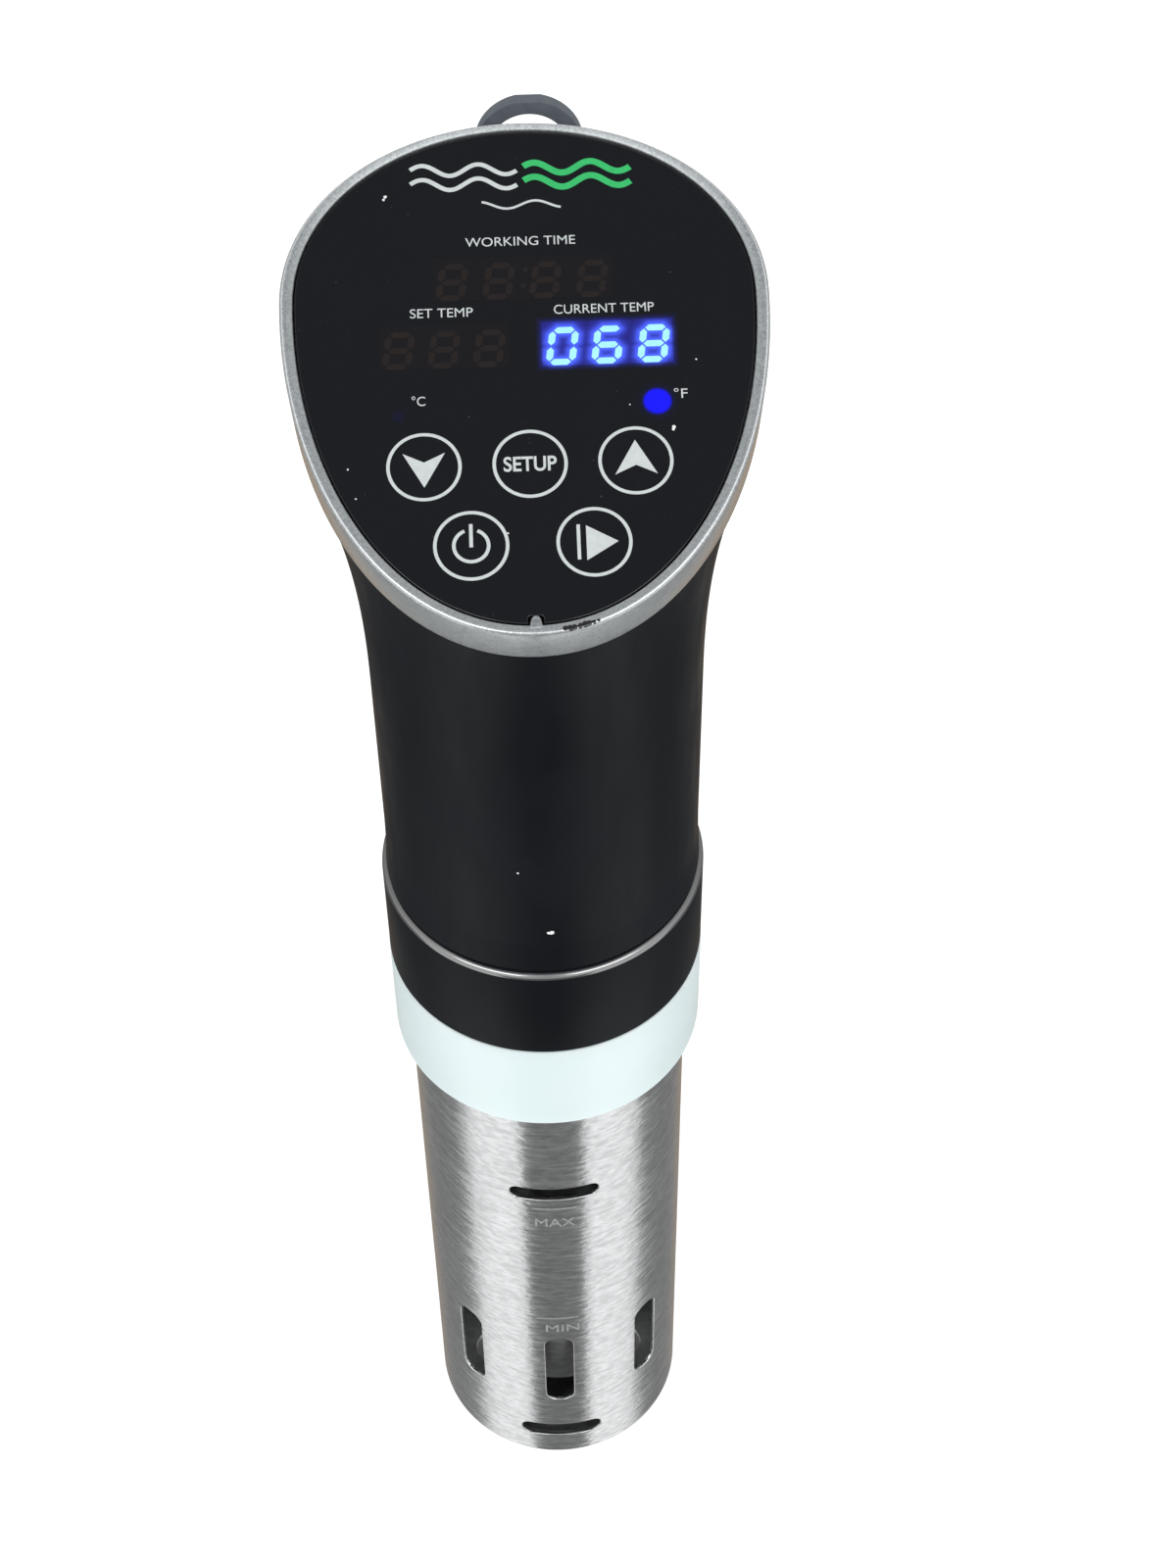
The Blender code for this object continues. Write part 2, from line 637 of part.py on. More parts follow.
def make_rotor(axis):
    bore = SHAFT_R + PLAY
    rod("drive_shaft", "bright_steel", SHAFT_R, SHAFT_LOW, SHAFT_HIGH, 16, axis)
    ring("motor_rotor", "bright_steel", bore, 12.4, 193.0, 219.0, 24, axis)
    fan = bladed("cooling_fan", "black_matte", 6.0, FAN_R, 7, 1.6, FAN_LOW, FAN_HIGH, axis)
    drilled([fan], bore, FAN_LOW - 1, FAN_HIGH + 1, "Z", (0, 0, 0), axis)
    blade_top = IMPELLER_HIGH - 1
    impeller = bladed("impeller", "black_matte", 5.0, IMPELLER_R, 6, 1.8, IMPELLER_LOW, blade_top, axis)
    disc = rod("disc", "black_matte", IMPELLER_R, IMPELLER_HIGH - 1.4, IMPELLER_HIGH, 32, axis)
    join(impeller, disc, "UNION")
    drilled([impeller], bore, IMPELLER_LOW - 1, IMPELLER_HIGH + 1, "Z", (0, 0, 0), axis)


# ---------------------------------------------------------------- heater and sensors


def make_heater():
    groove = BASE_R - 1.6
    profile = [
        (5.0 + GAP, BASE_LOW),
        (BASE_R, BASE_LOW),
        (BASE_R, 140.5),
        (groove, 140.5),
        (groove, 143.0),
        (BASE_R, 143.0),
        (BASE_R, BASE_HIGH),
        (5.0 + GAP, BASE_HIGH),
    ]
    base = turned("heater_base", "bright_steel", profile, 32)
    seal = [(groove + 0.9 + a, 141.75 + b) for a, b in circle(0.75, 6)]
    turned("skirt_seal", "rubber", seal, 32)

    coil_high = COIL_LOW + COIL_PITCH * COIL_TURNS
    top = BASE_HIGH + 3
    points = [(COIL_INNER_LEG, 0, z) for z in (top, 120, 95, COIL_LOW + 4)]
    points += [(COIL_INNER_LEG + 1.2, 0.6, COIL_LOW + 1), (12.2, 2.0, COIL_LOW - 0.4)]
    points += helix(COIL_R, COIL_LOW, coil_high, COIL_TURNS, 10, math.radians(25))
    last_x, last_y, _ = points[-1]
    points += [(last_x - 1.2, last_y + 2.6, coil_high + 2.4), (last_x - 1.8, last_y + 3.9, coil_high + 6)]
    leg = points[-1]
    points.append((leg[0], leg[1], top))
    wire("heater_coil", "bright_steel", points, COIL_WIRE, 1)
    for x, y in ((COIL_INNER_LEG, 0), leg[:2]):
        drilled([base], COIL_WIRE + GAP, BASE_LOW - 1, BASE_HIGH + 1, "Z", (x, y, 0))

    for name, (degrees, radius, low) in PROBES.items():
        turn = math.radians(degrees)
        x, y = PROBE_CIRCLE * math.cos(turn), PROBE_CIRCLE * math.sin(turn)
        top = BASE_HIGH + 2
        profile = [(0, low), (radius * 0.6, low), (radius, low + radius * 0.5), (radius, top), (0, top)]
        turned(name, "bright_steel", profile, 16, None, (x, y, 0))
        drilled([base], radius + GAP, BASE_LOW - 1, BASE_HIGH + 1, "Z", (x, y, 0))

    sleeve = ring("flow_sleeve", "brushed_steel", FLOW_R - SHEET, FLOW_R, FLOW_LOW, BASE_LOW - GAP)
    window = rounded(11, 12, 2, (0, 127))
    for axis in ("X", "Y"):
        join(sleeve, extruded("window", "black_matte", window, -30, 30, axis))
    bore = SHAFT_R + PLAY
    ring("shaft_tube", "bright_steel", 3.4, 5.0, 62.0, 150.0, 16)
    ring("shaft_bush", "brass", bore, 3.1, 62.5, 69.0, 16)
    ring("shaft_seal", "rubber", bore, 7.0, 150.3, 154.3, 16)


# ---------------------------------------------------------------- pot clip


def make_clip(axis, collar, chassis):
    """Shapes under the axis are placed from the cross pin, the rest from the origin."""
    saddle = box("clip_bracket", "black_matte", (18, 7.5, 22), (0, 32.9, CLIP_Z), 0.6)
    collar_tool = extruded("collar_tool", "black_matte", circle(COLLAR_R + GAP, 48), 170, 210)
    join(saddle, collar_tool)
    for side in (-1, 1):
        x = side * (EAR_INSIDE + EAR_OUTSIDE) / 2
        outline = rounded(10.6, 12, 4.4, (41.0, CLIP_Z))
        low, high = sorted((side * EAR_INSIDE, side * EAR_OUTSIDE))
        join(saddle, extruded("ear", "black_matte", outline, low, high, "X"), "UNION")
        drilled([saddle], PIN_R + PLAY, x - 4, x + 4, "X", (0, CLIP_Y, CLIP_Z))
    for z, name in zip(CLIP_SCREWS, ("clip_screw_lower", "clip_screw_upper")):
        drilled([saddle, collar, chassis], 1.5, 26, 42, "Y", (0, 0, z))
        screw(name, (0, 36.65 + GAP, z), 8.6, "back")
    pin = rod("clip_pin", "bright_steel", PIN_R, -9.6, 9.6, 16, None, (0, CLIP_Y, CLIP_Z))
    pin.rotation_euler.y = math.pi / 2

    thumb_side = [(5.4, 23.6), (8, 39), (11, 39), (8.5, 23), (6.2, 8)]
    back = [(5.8, 0), (5.6, -10), (5.8, -29), (4.6, -49), (0, -65), (-4, -70.5)]
    jaw = [(-7, -72), (-8, -72), (-8, -62), (-3.5, -61)]
    front = [(1.2, -47.5), (2.4, -29), (1.4, -10), (1, 0), (2, 8)]
    half = CLIP_WIDTH / 2
    lever = extruded("clip_lever", "black_matte", thumb_side + back + jaw + front, -half, half, "X", axis)
    barrel = extruded("barrel", "black_matte", circle(BARREL_R, 16), -half, half, "X", axis)
    join(lever, barrel, "UNION")
    thumb = box("thumb", "black_matte", (18, 3.4, 15), (0, 8.6, 30.5), 1.0, axis)
    thumb.rotation_euler.x = math.radians(-9)
    join(lever, thumb, "UNION")
    drilled([lever], PIN_R + PLAY, -10, 10, "X", (0, 0, 0), axis)
    join(lever, box("spring_room", "black_matte", (6.8, 9.2, 9.4), (0, -1.5, 0), 0, axis))
    box("clip_pad", "rubber", (CLIP_WIDTH - 0.4, 2.8, 9.4), (0, -8 - GAP - 1.4, -67), 0.6, axis)

    coil = [(z, x, y) for x, y, z in helix(2.3, -2.4, 2.4, 4, 8)]
    spring = [(-2.9, *coil[0][1:])] + coil + [(2.9, *coil[-1][1:])]
    wire("clip_spring", "bright_steel", spring, 0.4, 0, None, (0, CLIP_Y, CLIP_Z))


def main():
    clear_scene()
    skirt_axis = empty("skirt_axis", (0, 0, 0))
    rotor_axis = empty("rotor_axis", (0, 0, 0))
    clip_axis = empty("clip_axis", (0, CLIP_Y, CLIP_Z))
    panel_frame = empty("panel_frame", PANEL_CENTRE, PANEL_TILT)
    make_skirt(skirt_axis)
    collar, chassis = make_middle()
    rear = make_casing()[1]
    bezel = make_bezel(panel_frame)
    make_panel(panel_frame)
    make_display_board(panel_frame, bezel)
    make_loop(rear)
    make_gland(rear)
    make_power_board()
    make_motor()
    make_rotor(rotor_axis)
    make_heater()
    make_clip(clip_axis, collar, chassis)


main()
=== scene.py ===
"""The looks of a sous vide circulator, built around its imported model.

Sizes below are in millimetres, and the mesh helpers turn them into metres. Z is up, the panel
faces -Y, and every piece is made where it stands at rest.
"""

from math import asin, atan2, copysign, cos, exp, hypot, pi, radians, sin, tan, tau

import bmesh
import bpy
from mathutils import Matrix, Vector
from mathutils.kdtree import KDTree


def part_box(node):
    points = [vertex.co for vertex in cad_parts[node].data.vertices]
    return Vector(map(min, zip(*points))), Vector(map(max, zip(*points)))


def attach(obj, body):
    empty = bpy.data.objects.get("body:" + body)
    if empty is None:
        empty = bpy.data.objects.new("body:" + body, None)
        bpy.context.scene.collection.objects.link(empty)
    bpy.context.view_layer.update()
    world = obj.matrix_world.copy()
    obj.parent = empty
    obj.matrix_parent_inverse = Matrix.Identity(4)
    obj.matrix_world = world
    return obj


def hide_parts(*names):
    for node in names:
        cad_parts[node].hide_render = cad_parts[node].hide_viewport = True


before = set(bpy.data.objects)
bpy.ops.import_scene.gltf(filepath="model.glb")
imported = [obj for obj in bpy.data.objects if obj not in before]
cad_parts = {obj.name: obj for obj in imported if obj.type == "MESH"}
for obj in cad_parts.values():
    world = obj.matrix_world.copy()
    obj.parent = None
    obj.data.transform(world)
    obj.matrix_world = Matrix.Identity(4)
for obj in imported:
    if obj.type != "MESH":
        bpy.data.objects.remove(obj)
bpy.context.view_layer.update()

MM = 0.001
GAP = 0.3


def low(node):
    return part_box(node)[0] / MM


def high(node):
    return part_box(node)[1] / MM


# Skirt, ring and collar, read from the frame
TUBE_R = high("steel_skirt").x
SHEET, SHEET_EDGE, ROLL_STEP = 0.8, 0.18, 1.2
SLOT_WIDTH, SLOT_LOW, SLOT_HIGH = 6.9, 26.5, 55.8
SLOT_COUNT = 8
LEVEL_SLOT_WIDTH = 19.8
INTAKE_R, INTAKE_RING_R = 4.5, 17
LEVEL_SLOTS = ((8.2, 13.6), (116.8, 121.1))
SLEEVE_R, COLLAR_EDGE = 30.4, 1.5

# Casing
GRIP_R = 31.6
GRIP_FOOT_R = high("collar").x - 0.9
GRIP_LOW = low("front_casing").z
GRIP_TOP = 255.0
WALL = 2.0
FLARE = 2.6

# Tilted head
PANEL_TILT = radians(22.4)
PANEL_CENTRE = (0.0, 21.1, 326.7)
PANEL_FRAME = Matrix.Translation(PANEL_CENTRE) @ Matrix.Rotation(PANEL_TILT, 4, "X")
EGG_SIDE = high("touch_panel").x + GAP
EGG_FRONT, EGG_BACK = 62.2, 34.0
EGG_POWER = 2.05
RIM_SIDE = high("bezel").x - EGG_SIDE
RIM_FRONT, RIM_BACK = 2.0, 1.4
BEZEL_FRONT_HEIGHT, BEZEL_BACK_HEIGHT = 10.0, 12.5
LOOP_R, LOOP_HOLE_R, LOOP_FLAT, LOOP_THICK = 10.0, 7.2, 9.75, 2.6
LEDGE, CREST_LOW = 3.9, -0.2
GLASS_TOP, GLASS_LOW = -0.8, -2.8
PRINT_HEIGHT, PRINT_THICK, ETCH_THICK = 0.03, 0.02, 0.1
GLOW_HEIGHT, GLOW_STEP, GLOW_MARGIN = GLASS_TOP + 0.01, 0.2, 1.2
GLASS_COLOUR = (0.0062, 0.0068, 0.0085)


# ---- materials


class Nodes:
    """Adds linked nodes to a shader tree."""

    def __init__(self, tree):
        self.tree = tree

    def give(self, socket, value):
        if isinstance(value, bpy.types.NodeSocket):
            self.tree.links.new(value, socket)
        elif socket.type == "RGBA" and len(value) == 3:
            socket.default_value = (*value, 1.0)
        else:
            socket.default_value = value

    def node(self, kind, **inputs):
        made = self.tree.nodes.new(kind)
        for name, value in inputs.items():
            self.give(made.inputs[name.replace("_", " ")], value)
        return made

    def maths(self, operation, *values):
        made = self.node("ShaderNodeMath")
        made.operation = operation
        for socket, value in zip(made.inputs, values):
            self.give(socket, value)
        return made.outputs[0]

    def mixed(self, share, first, second, blend="MIX"):
        made = self.node("ShaderNodeMix")
        made.data_type, made.blend_type = "RGBA", blend
        for index, value in ((0, share), (6, first), (7, second)):
            self.give(made.inputs[index], value)
        return made.outputs[2]


class Finish(Nodes):
    """A Principled material and the small node network that varies it over the surface."""

    def __init__(self, name, colour, roughness, metallic=0.0, **constants):
        self.material = bpy.data.materials.new(name)
        self.material.use_nodes = True
        super().__init__(self.material.node_tree)
        self.shader = self.tree.nodes["Principled BSDF"]
        self.set("Base Color", colour)
        self.set("Roughness", roughness)
        self.set("Metallic", metallic)
        for socket, value in constants.items():
            self.set(socket.replace("_", " "), value)
        self.place = self.node("ShaderNodeTexCoord").outputs["Object"]

    def set(self, socket, value):
        self.give(self.shader.inputs[socket], value)

    def noise(self, scale, detail=3.0, stretch=None):
        vector = self.place
        if stretch:
            vector = self.node("ShaderNodeMapping", Vector=vector, Scale=stretch).outputs["Vector"]
        return self.node("ShaderNodeTexNoise", Vector=vector, Scale=scale, Detail=detail).outputs["Fac"]

    def cells(self, scale, output="Color"):
        return self.node("ShaderNodeTexVoronoi", Vector=self.place, Scale=scale).outputs[output]

    def ranged(self, source, start, end, least=0.3, most=0.7):
        """Carries source from least to most onto start to end."""
        limits = {"From_Min": least, "From_Max": most, "To_Min": start, "To_Max": end}
        return self.node("ShaderNodeMapRange", Value=source, **limits).outputs["Result"]

    def tinted(self, source, first, second, least=0.3, most=0.7):
        return self.mixed(self.ranged(source, 0.0, 1.0, least, most), first, second)

    def weighted(self, first, share, second, other_share):
        parts = self.maths("MULTIPLY", first, share), self.maths("MULTIPLY", second, other_share)
        return self.maths("ADD", *parts)

    def near(self, point, reach, ragged=0.0, scale=0.0):
        """1 close to a point of the object and 0 beyond reach, with an edge ragged by a share of it."""
        made = self.node("ShaderNodeVectorMath")
        made.operation = "DISTANCE"
        self.give(made.inputs[0], self.place)
        self.give(made.inputs[1], point)
        distance = made.outputs["Value"]
        reach *= MM
        if ragged:
            edge = self.ranged(self.noise(scale), -reach * ragged, reach * ragged)
            distance = self.maths("ADD", distance, edge)
        return self.ranged(distance, 1.0, 0.0, reach * 0.9, reach)

    def bump(self, source, strength, distance):
        made = self.node("ShaderNodeBump", Height=source, Strength=strength, Distance=distance)
        previous = self.shader.inputs["Normal"].links
        if previous:
            self.give(made.inputs["Normal"], previous[0].from_socket)
        self.set("Normal", made.outputs["Normal"])


def toned(colour, factor, lift=0.0):
    """A colour made darker or lighter."""
    return tuple(min(1.0, c * factor + lift) for c in colour)


def brushed_steel(name="brushed_steel", colour=(0.60, 0.61, 0.615), roughness=0.2):
    """Stainless sheet, brushed round the tube, so that highlights spread along it."""
    finish = Finish(name, colour, roughness, 1.0, Anisotropic=0.7, Anisotropic_Rotation=0.25)
    tangent = finish.node("ShaderNodeTangent")
    tangent.direction_type = "RADIAL"
    tangent.axis = "Z"
    finish.set("Tangent", tangent.outputs["Tangent"])
    fine = finish.noise(1.0, 5, (170, 170, 4200))
    broad = finish.noise(1.0, 3, (60, 60, 900))
    grain = finish.maths("ADD", fine, broad)
    finish.set("Roughness", finish.ranged(grain, roughness - 0.06, roughness + 0.08, 0.75, 1.25))
    mottle = finish.noise(1.0, 5, (380, 380, 800))
    tone = finish.weighted(grain, 0.35, mottle, 0.65)
    finish.set("Base Color", finish.tinted(tone, toned(colour, 0.8), toned(colour, 1.14), 0.55, 0.8))
    finish.bump(fine, 0.2, 0.00006)
    finish.bump(broad, 0.2, 0.0001)
    finish.bump(mottle, 0.4, 0.0002)
    return finish.material


def black_plastic(name, colour, roughness, smudge=0.12, grain=0.0, shine=0.3, ior=1.5, specks=()):
    """Moulded black plastic, with hand marks that show as a change of gloss."""
    finish = Finish(name, colour, roughness, 0.0, Specular_IOR_Level=shine, IOR=ior)
    marks = finish.noise(28.0, 4)
    wisps = finish.noise(1.0, 3, (300, 300, 50))
    both = finish.weighted(marks, 0.7, wisps, 0.3)
    finish.set("Roughness", finish.ranged(both, roughness - smudge, roughness + smudge, 0.35, 0.65))
    tone = finish.tinted(marks, colour, toned(colour, 1.35, 0.001), 0.45, 0.7)
    for degrees, height, reach in specks:
        place = Vector(around(GRIP_R, radians(degrees), height)) * MM
        speck = finish.near(place, reach, 0.4, 2500.0)
        tone = finish.mixed(speck, tone, (0.75, 0.75, 0.75))
    finish.set("Base Color", tone)
    if grain:
        finish.bump(finish.noise(2600.0, 2), grain, 0.00005)
    return finish.material


def simple(name, colour, roughness, metallic, scale, spread, bump, **constants):
    """A plain finish with a little variation of tone, gloss and relief."""
    finish = Finish(name, colour, roughness, metallic, **constants)
    tone = finish.noise(scale, 4)
    finish.set("Base Color", finish.tinted(tone, toned(colour, 1 - spread), toned(colour, 1 + spread)))
    finish.set("Roughness", finish.ranged(tone, roughness * 0.85, min(1.0, roughness * 1.15)))
    finish.bump(finish.noise(scale * 4, 2), bump, 0.00005)
    return finish.material


def on_panel(u, v, height):
    """A point of the panel's own axes, in metres."""
    return PANEL_FRAME @ Vector((u, v, height)) * MM


# Wear: chips in the bezel's paint as u, distance across its rim, height and reach in mm, and specks of
# dust on the glass (u, v, reach) and on the grip (degrees, height, reach)
CREST_CHIPS = (
    (4.9, 1.3, 0.5), (5.7, 1.38, 0.55), (6.5, 1.42, 0.6), (7.3, 1.46, 0.62),
    (8.1, 1.5, 0.62), (8.9, 1.54, 0.6), (9.7, 1.58, 0.5), (10.4, 1.6, 0.35),
)
CHIPS = tuple((u, across, -0.1, reach) for u, across, reach in CREST_CHIPS) + (
    (-20.6, 2.0, -3.6, 0.75), (-21.4, 2.0, -3.9, 0.45), (-26.9, 2.0, -2.4, 0.4),
)
SPECKS = (
    (24.88, -26.0, 0.36), (24.8, -26.5, 0.25), (-24.1, 21.2, 0.3), (-24.4, 20.6, 0.22), (29.4, -13.1, 0.16),
    (-31.2, -32.2, 0.16), (-29.9, -37.8, 0.17), (17.5, -21.5, 0.14), (-4.2, -45.1, 0.16), (-4.9, -28.2, 0.2),
)
GRIP_SPECKS = (
    (2.1, 214.1, 0.5), (1.0, 214.1, 0.4), (0.4, 204.8, 0.3), (5.2, 204.5, 0.3), (-9.0, 232.0, 0.22),
)


def around(radius, turn, height):
    """A point on a circle about Z. Angle 0 is in front."""
    return radius * sin(turn), -radius * cos(turn), height


def silver_paint(name, tones, roughness):
    """Metallic paint whose flakes sparkle, chipped down to a dark primer at two places on its edge."""
    finish = Finish(name, tones[0], roughness, 0.75, Coat_Weight=0.7, Coat_Roughness=0.1)
    flakes = finish.cells(3600.0)
    bright = finish.node("ShaderNodeSeparateColor", Color=flakes).outputs["Red"]
    soft = finish.noise(700.0, 3)
    colour = finish.tinted(finish.weighted(bright, 0.6, soft, 0.5), *tones, 0.2, 0.9)
    finish.set("Roughness", finish.ranged(bright, roughness - 0.07, roughness + 0.08, 0.0, 1.0))
    for u, across, height, reach in CHIPS:
        v = egg(asin((abs(u) / EGG_SIDE) ** (EGG_POWER / 2)))[1] - RIM_FRONT * across / 2
        chip = finish.near(on_panel(u, v, height), reach, 0.3, 800.0)
        colour = finish.mixed(chip, colour, (0.02, 0.02, 0.022))
    finish.set("Base Color", colour)
    finish.bump(finish.noise(1800.0, 2), 0.1, 0.00005)
    return finish.material


def milk_plastic():
    """Translucent white plastic, a little cloudy."""
    glow = {"Emission_Color": (0.80, 0.95, 1.0), "Emission_Strength": 0.03, "Specular_IOR_Level": 0.5}
    depth = {"Subsurface_Weight": 0.55, "Subsurface_Scale": 1.0, "Subsurface_Radius": (0.006, 0.007, 0.007)}
    finish = Finish("milk_plastic", (0.70, 0.82, 0.83), 0.32, **depth, **glow)
    cloud = finish.noise(30.0, 2)
    finish.set("Base Color", finish.tinted(cloud, (0.61, 0.725, 0.73), (0.645, 0.75, 0.76)))
    finish.set("Roughness", finish.ranged(cloud, 0.32, 0.38))
    return finish.material


def black_glass():
    """The panel: polished, printed black from behind, with fine dust that dulls it in places."""
    finish = Finish("black_glass", GLASS_COLOUR, 0.06, 0.0, Specular_IOR_Level=0.5)
    dust = finish.noise(1400.0, 2)
    haze = finish.noise(55.0, 4)
    finish.set("Roughness", finish.ranged(haze, 0.05, 0.14))
    colour = finish.tinted(dust, GLASS_COLOUR, (0.06, 0.06, 0.065), 0.76, 0.8)
    for u, v, reach in SPECKS:
        speck = finish.near(on_panel(u, v, GLASS_TOP), reach, 0.3, 2500.0)
        colour = finish.mixed(speck, colour, (0.8, 0.8, 0.8))
    finish.set("Base Color", colour)
    return finish.material


def print_ink(name, colour, glow=0.0):
    """Ink behind the glass, as glossy as the glass itself."""
    finish = Finish(name, colour, 0.12, Specular_IOR_Level=0.5)
    worn = finish.noise(900.0, 3)
    tone = finish.tinted(worn, toned(colour, 0.9), colour)
    if glow:
        finish.set("Base Color", (0.004, 0.004, 0.005))
        finish.set("Emission Color", tone)
        finish.set("Emission Strength", glow)
    else:
        finish.set("Base Color", tone)
    return finish.material


def glow_material(name, strength):
    """Light that shines through the glass, in the colours worked out for each point of the mesh."""
    finish = Finish(name, GLASS_COLOUR, 0.09, Specular_IOR_Level=0.5)
    lit = finish.node("ShaderNodeAttribute")
    lit.attribute_name = "light"
    speckle = finish.ranged(finish.noise(1500.0, 2), 0.92, 1.0)
    finish.set("Emission Color", finish.mixed(1.0, lit.outputs["Color"], speckle, "MULTIPLY"))
    finish.set("Emission Strength", strength)
    return finish.material


# ---- mesh helpers


def placed(name, data):
    made = bpy.data.objects.new(name, data)
    bpy.context.scene.collection.objects.link(made)
    return made


def meshed(bm, name, material):
    mesh = bpy.data.meshes.new(name)
    bm.to_mesh(mesh)
    bm.free()
    mesh.materials.append(material)
    return mesh


def resized(bm, factor):
    bmesh.ops.scale(bm, vec=(factor, factor, factor), verts=bm.verts)


def pushed(bm, made, step):
    """Moves the corners that are among freshly extruded geometry."""
    bmesh.ops.translate(bm, vec=step, verts=[v for v in made["geom"] if isinstance(v, bmesh.types.BMVert)])


def made_from(bm, name, material, matrix=None, sharp=32.0):
    """Turns a millimetre bmesh into a smooth-shaded object."""
    bmesh.ops.remove_doubles(bm, verts=bm.verts, dist=1e-4)
    bmesh.ops.recalc_face_normals(bm, faces=bm.faces)
    if matrix is not None:
        bm.transform(matrix)
    resized(bm, MM)
    mesh = meshed(bm, name, material)
    mesh.shade_smooth()
    mesh.set_sharp_from_angle(angle=radians(sharp))
    return placed(name, mesh)


def fillet(corners, radii, steps=5, closed=True):
    """Rounds the corners of a flat outline. One radius serves all, or each corner has its own."""
    count = len(corners)
    if not isinstance(radii, (list, tuple)):
        radii = [radii] * count
    outline = []
    for i, (corner, radius) in enumerate(zip(corners, radii)):
        here = Vector(corner)
        ends = not closed and i in (0, count - 1)
        if ends or radius <= 0:
            outline.append(tuple(here))
            continue
        back = (Vector(corners[i - 1]) - here).normalized()
        ahead = (Vector(corners[(i + 1) % count]) - here).normalized()
        half = back.angle(ahead) / 2
        if half > pi / 2 - 0.01:
            outline.append(tuple(here))
            continue
        centre = here + (back + ahead).normalized() * radius / sin(half)
        start = here + back * radius / tan(half) - centre
        end = here + ahead * radius / tan(half) - centre
        sweep = start.angle_signed(end)
        for k in range(steps + 1):
            arm = start.copy()
            arm.rotate(Matrix.Rotation(-sweep * k / steps, 2))
            outline.append(tuple(centre + arm))
    return outline


def lathe(name, material, profile, steps, matrix=None):
    """Turns a (radius, height) outline about Z. One that starts on the axis also ends there."""
    bm = bmesh.new()
    points = [bm.verts.new((radius, 0, height)) for radius, height in profile]
    on_axis = profile[0][0] == 0
    edges = [bm.edges.new((points[i - 1], points[i])) for i in range(int(on_axis), len(points))]
    bmesh.ops.spin(bm, geom=points + edges, axis=(0, 0, 1), angle=tau, steps=steps, use_merge=True)
    return made_from(bm, name, material, matrix)


AXIS_ORDER = {"X": (2, 0, 1), "Y": (0, 2, 1), "Z": (0, 1, 2)}


def slab(name, material, outline, start, end, axis, matrix=None):
    """A flat outline carried along one axis."""
    bm = bmesh.new()
    corners = []
    for a, b in outline:
        flat = (a, b, start)
        corners.append(bm.verts.new([flat[i] for i in AXIS_ORDER[axis]]))
    travel = (0, 0, end - start)
    step = [travel[i] for i in AXIS_ORDER[axis]]
    pushed(bm, bmesh.ops.extrude_face_region(bm, geom=[bm.faces.new(corners)]), step)
    return made_from(bm, name, material, matrix)


def block(name, material, size, matrix):
    x, y, z = (s / 2 for s in size)
    return slab(name, material, [(-x, -y), (x, -y), (x, y), (-x, y)], -z, z, "Z", matrix)


def shift(x, y, z):
    return Matrix.Translation((x, y, z))


def spun(degrees, axis):
    return Matrix.Rotation(radians(degrees), 4, axis)


def round_edges(obj, width, segments=3, angle=30.0):
    """A bevel along every sharp edge, with flat faces kept flat in the shading."""
    bevel = obj.modifiers.new("rounded", "BEVEL")
    bevel.width = width * MM
    bevel.segments = segments
    bevel.limit_method = "ANGLE"
    bevel.angle_limit = radians(angle)
    bevel.harden_normals = True
    return applied(obj)


def applied(obj):
    """Bakes the modifiers into the mesh."""
    graph = bpy.context.evaluated_depsgraph_get()
    seen = obj.evaluated_get(graph)
    mesh = bpy.data.meshes.new_from_object(seen, preserve_all_data_layers=True, depsgraph=graph)
    obj.modifiers.clear()
    obj.data = mesh
    return obj


def cutter(outline, start, end, axis="Z", matrix=None):
    """A slab that is only used to cut. The cut keeps the look of the piece."""
    return slab("cutter", LOOKS["rubber"], outline, start, end, axis, matrix)


def carve(obj, tools, operation="DIFFERENCE"):
    """Cuts or adds shapes, and takes the tools away."""
    for tool in tools:
        step = obj.modifiers.new("carve", "BOOLEAN")
        step.object = tool
        step.operation = operation
        step.solver = "EXACT"
    applied(obj)
    for tool in tools:
        bpy.data.objects.remove(tool)
    return obj


def reshade(mesh, normal_for):
    """Gives each corner the normal found for its place and its face, where one is found."""
    present = [Vector(n.vector) for n in mesh.corner_normals]
    for polygon in mesh.polygons:
        for corner in polygon.loop_indices:
            place = mesh.vertices[mesh.loops[corner].vertex_index].co
            present[corner] = normal_for(place, polygon.normal) or present[corner]
    mesh.normals_split_custom_set(present)


def radial(place, normal):
    """The normal of a tube about Z, for a face that lies along it."""
    ideal = Vector((place.x, place.y, 0)).normalized()
    side = ideal.dot(normal)
    return ideal * copysign(1.0, side) if abs(side) > cos(radians(9.0)) else None


def finished(piece, body, slot, *nodes):
    """Joins a piece to the frame: what it rides on and the CAD nodes it stands for, which it hides. The
    finish slot is not used.
    """
    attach(piece, body)
    if nodes:
        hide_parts(*nodes)
    return piece


def moved(outline, centre):
    return [(centre[0] + a, centre[1] + b) for a, b in outline]


def spaced(radius, count, start=0.0):
    """Places spaced evenly round a circle."""
    turns = [tau * (k + start) / count for k in range(count)]
    return [(radius * cos(t), radius * sin(t)) for t in turns]


def circle(radius, segments, centre=(0.0, 0.0)):
    return moved(spaced(radius, segments, 0.5), centre)


def rectangle(width, height, radius, centre=(0.0, 0.0), steps=8):
    half_w, half_h = width / 2, height / 2
    corners = [(half_w, half_h), (-half_w, half_h), (-half_w, -half_h), (half_w, -half_h)]
    return fillet(moved(corners, centre), radius, steps)


# ---- camera


CAMERA_PLACE = (-0.00134, -0.3450, 0.6083)  # in metres
CAMERA_TURN = (1.794, 48.249, 0.667)  # yaw, pitch down and roll in degrees
CAMERA_LENS = 59.6


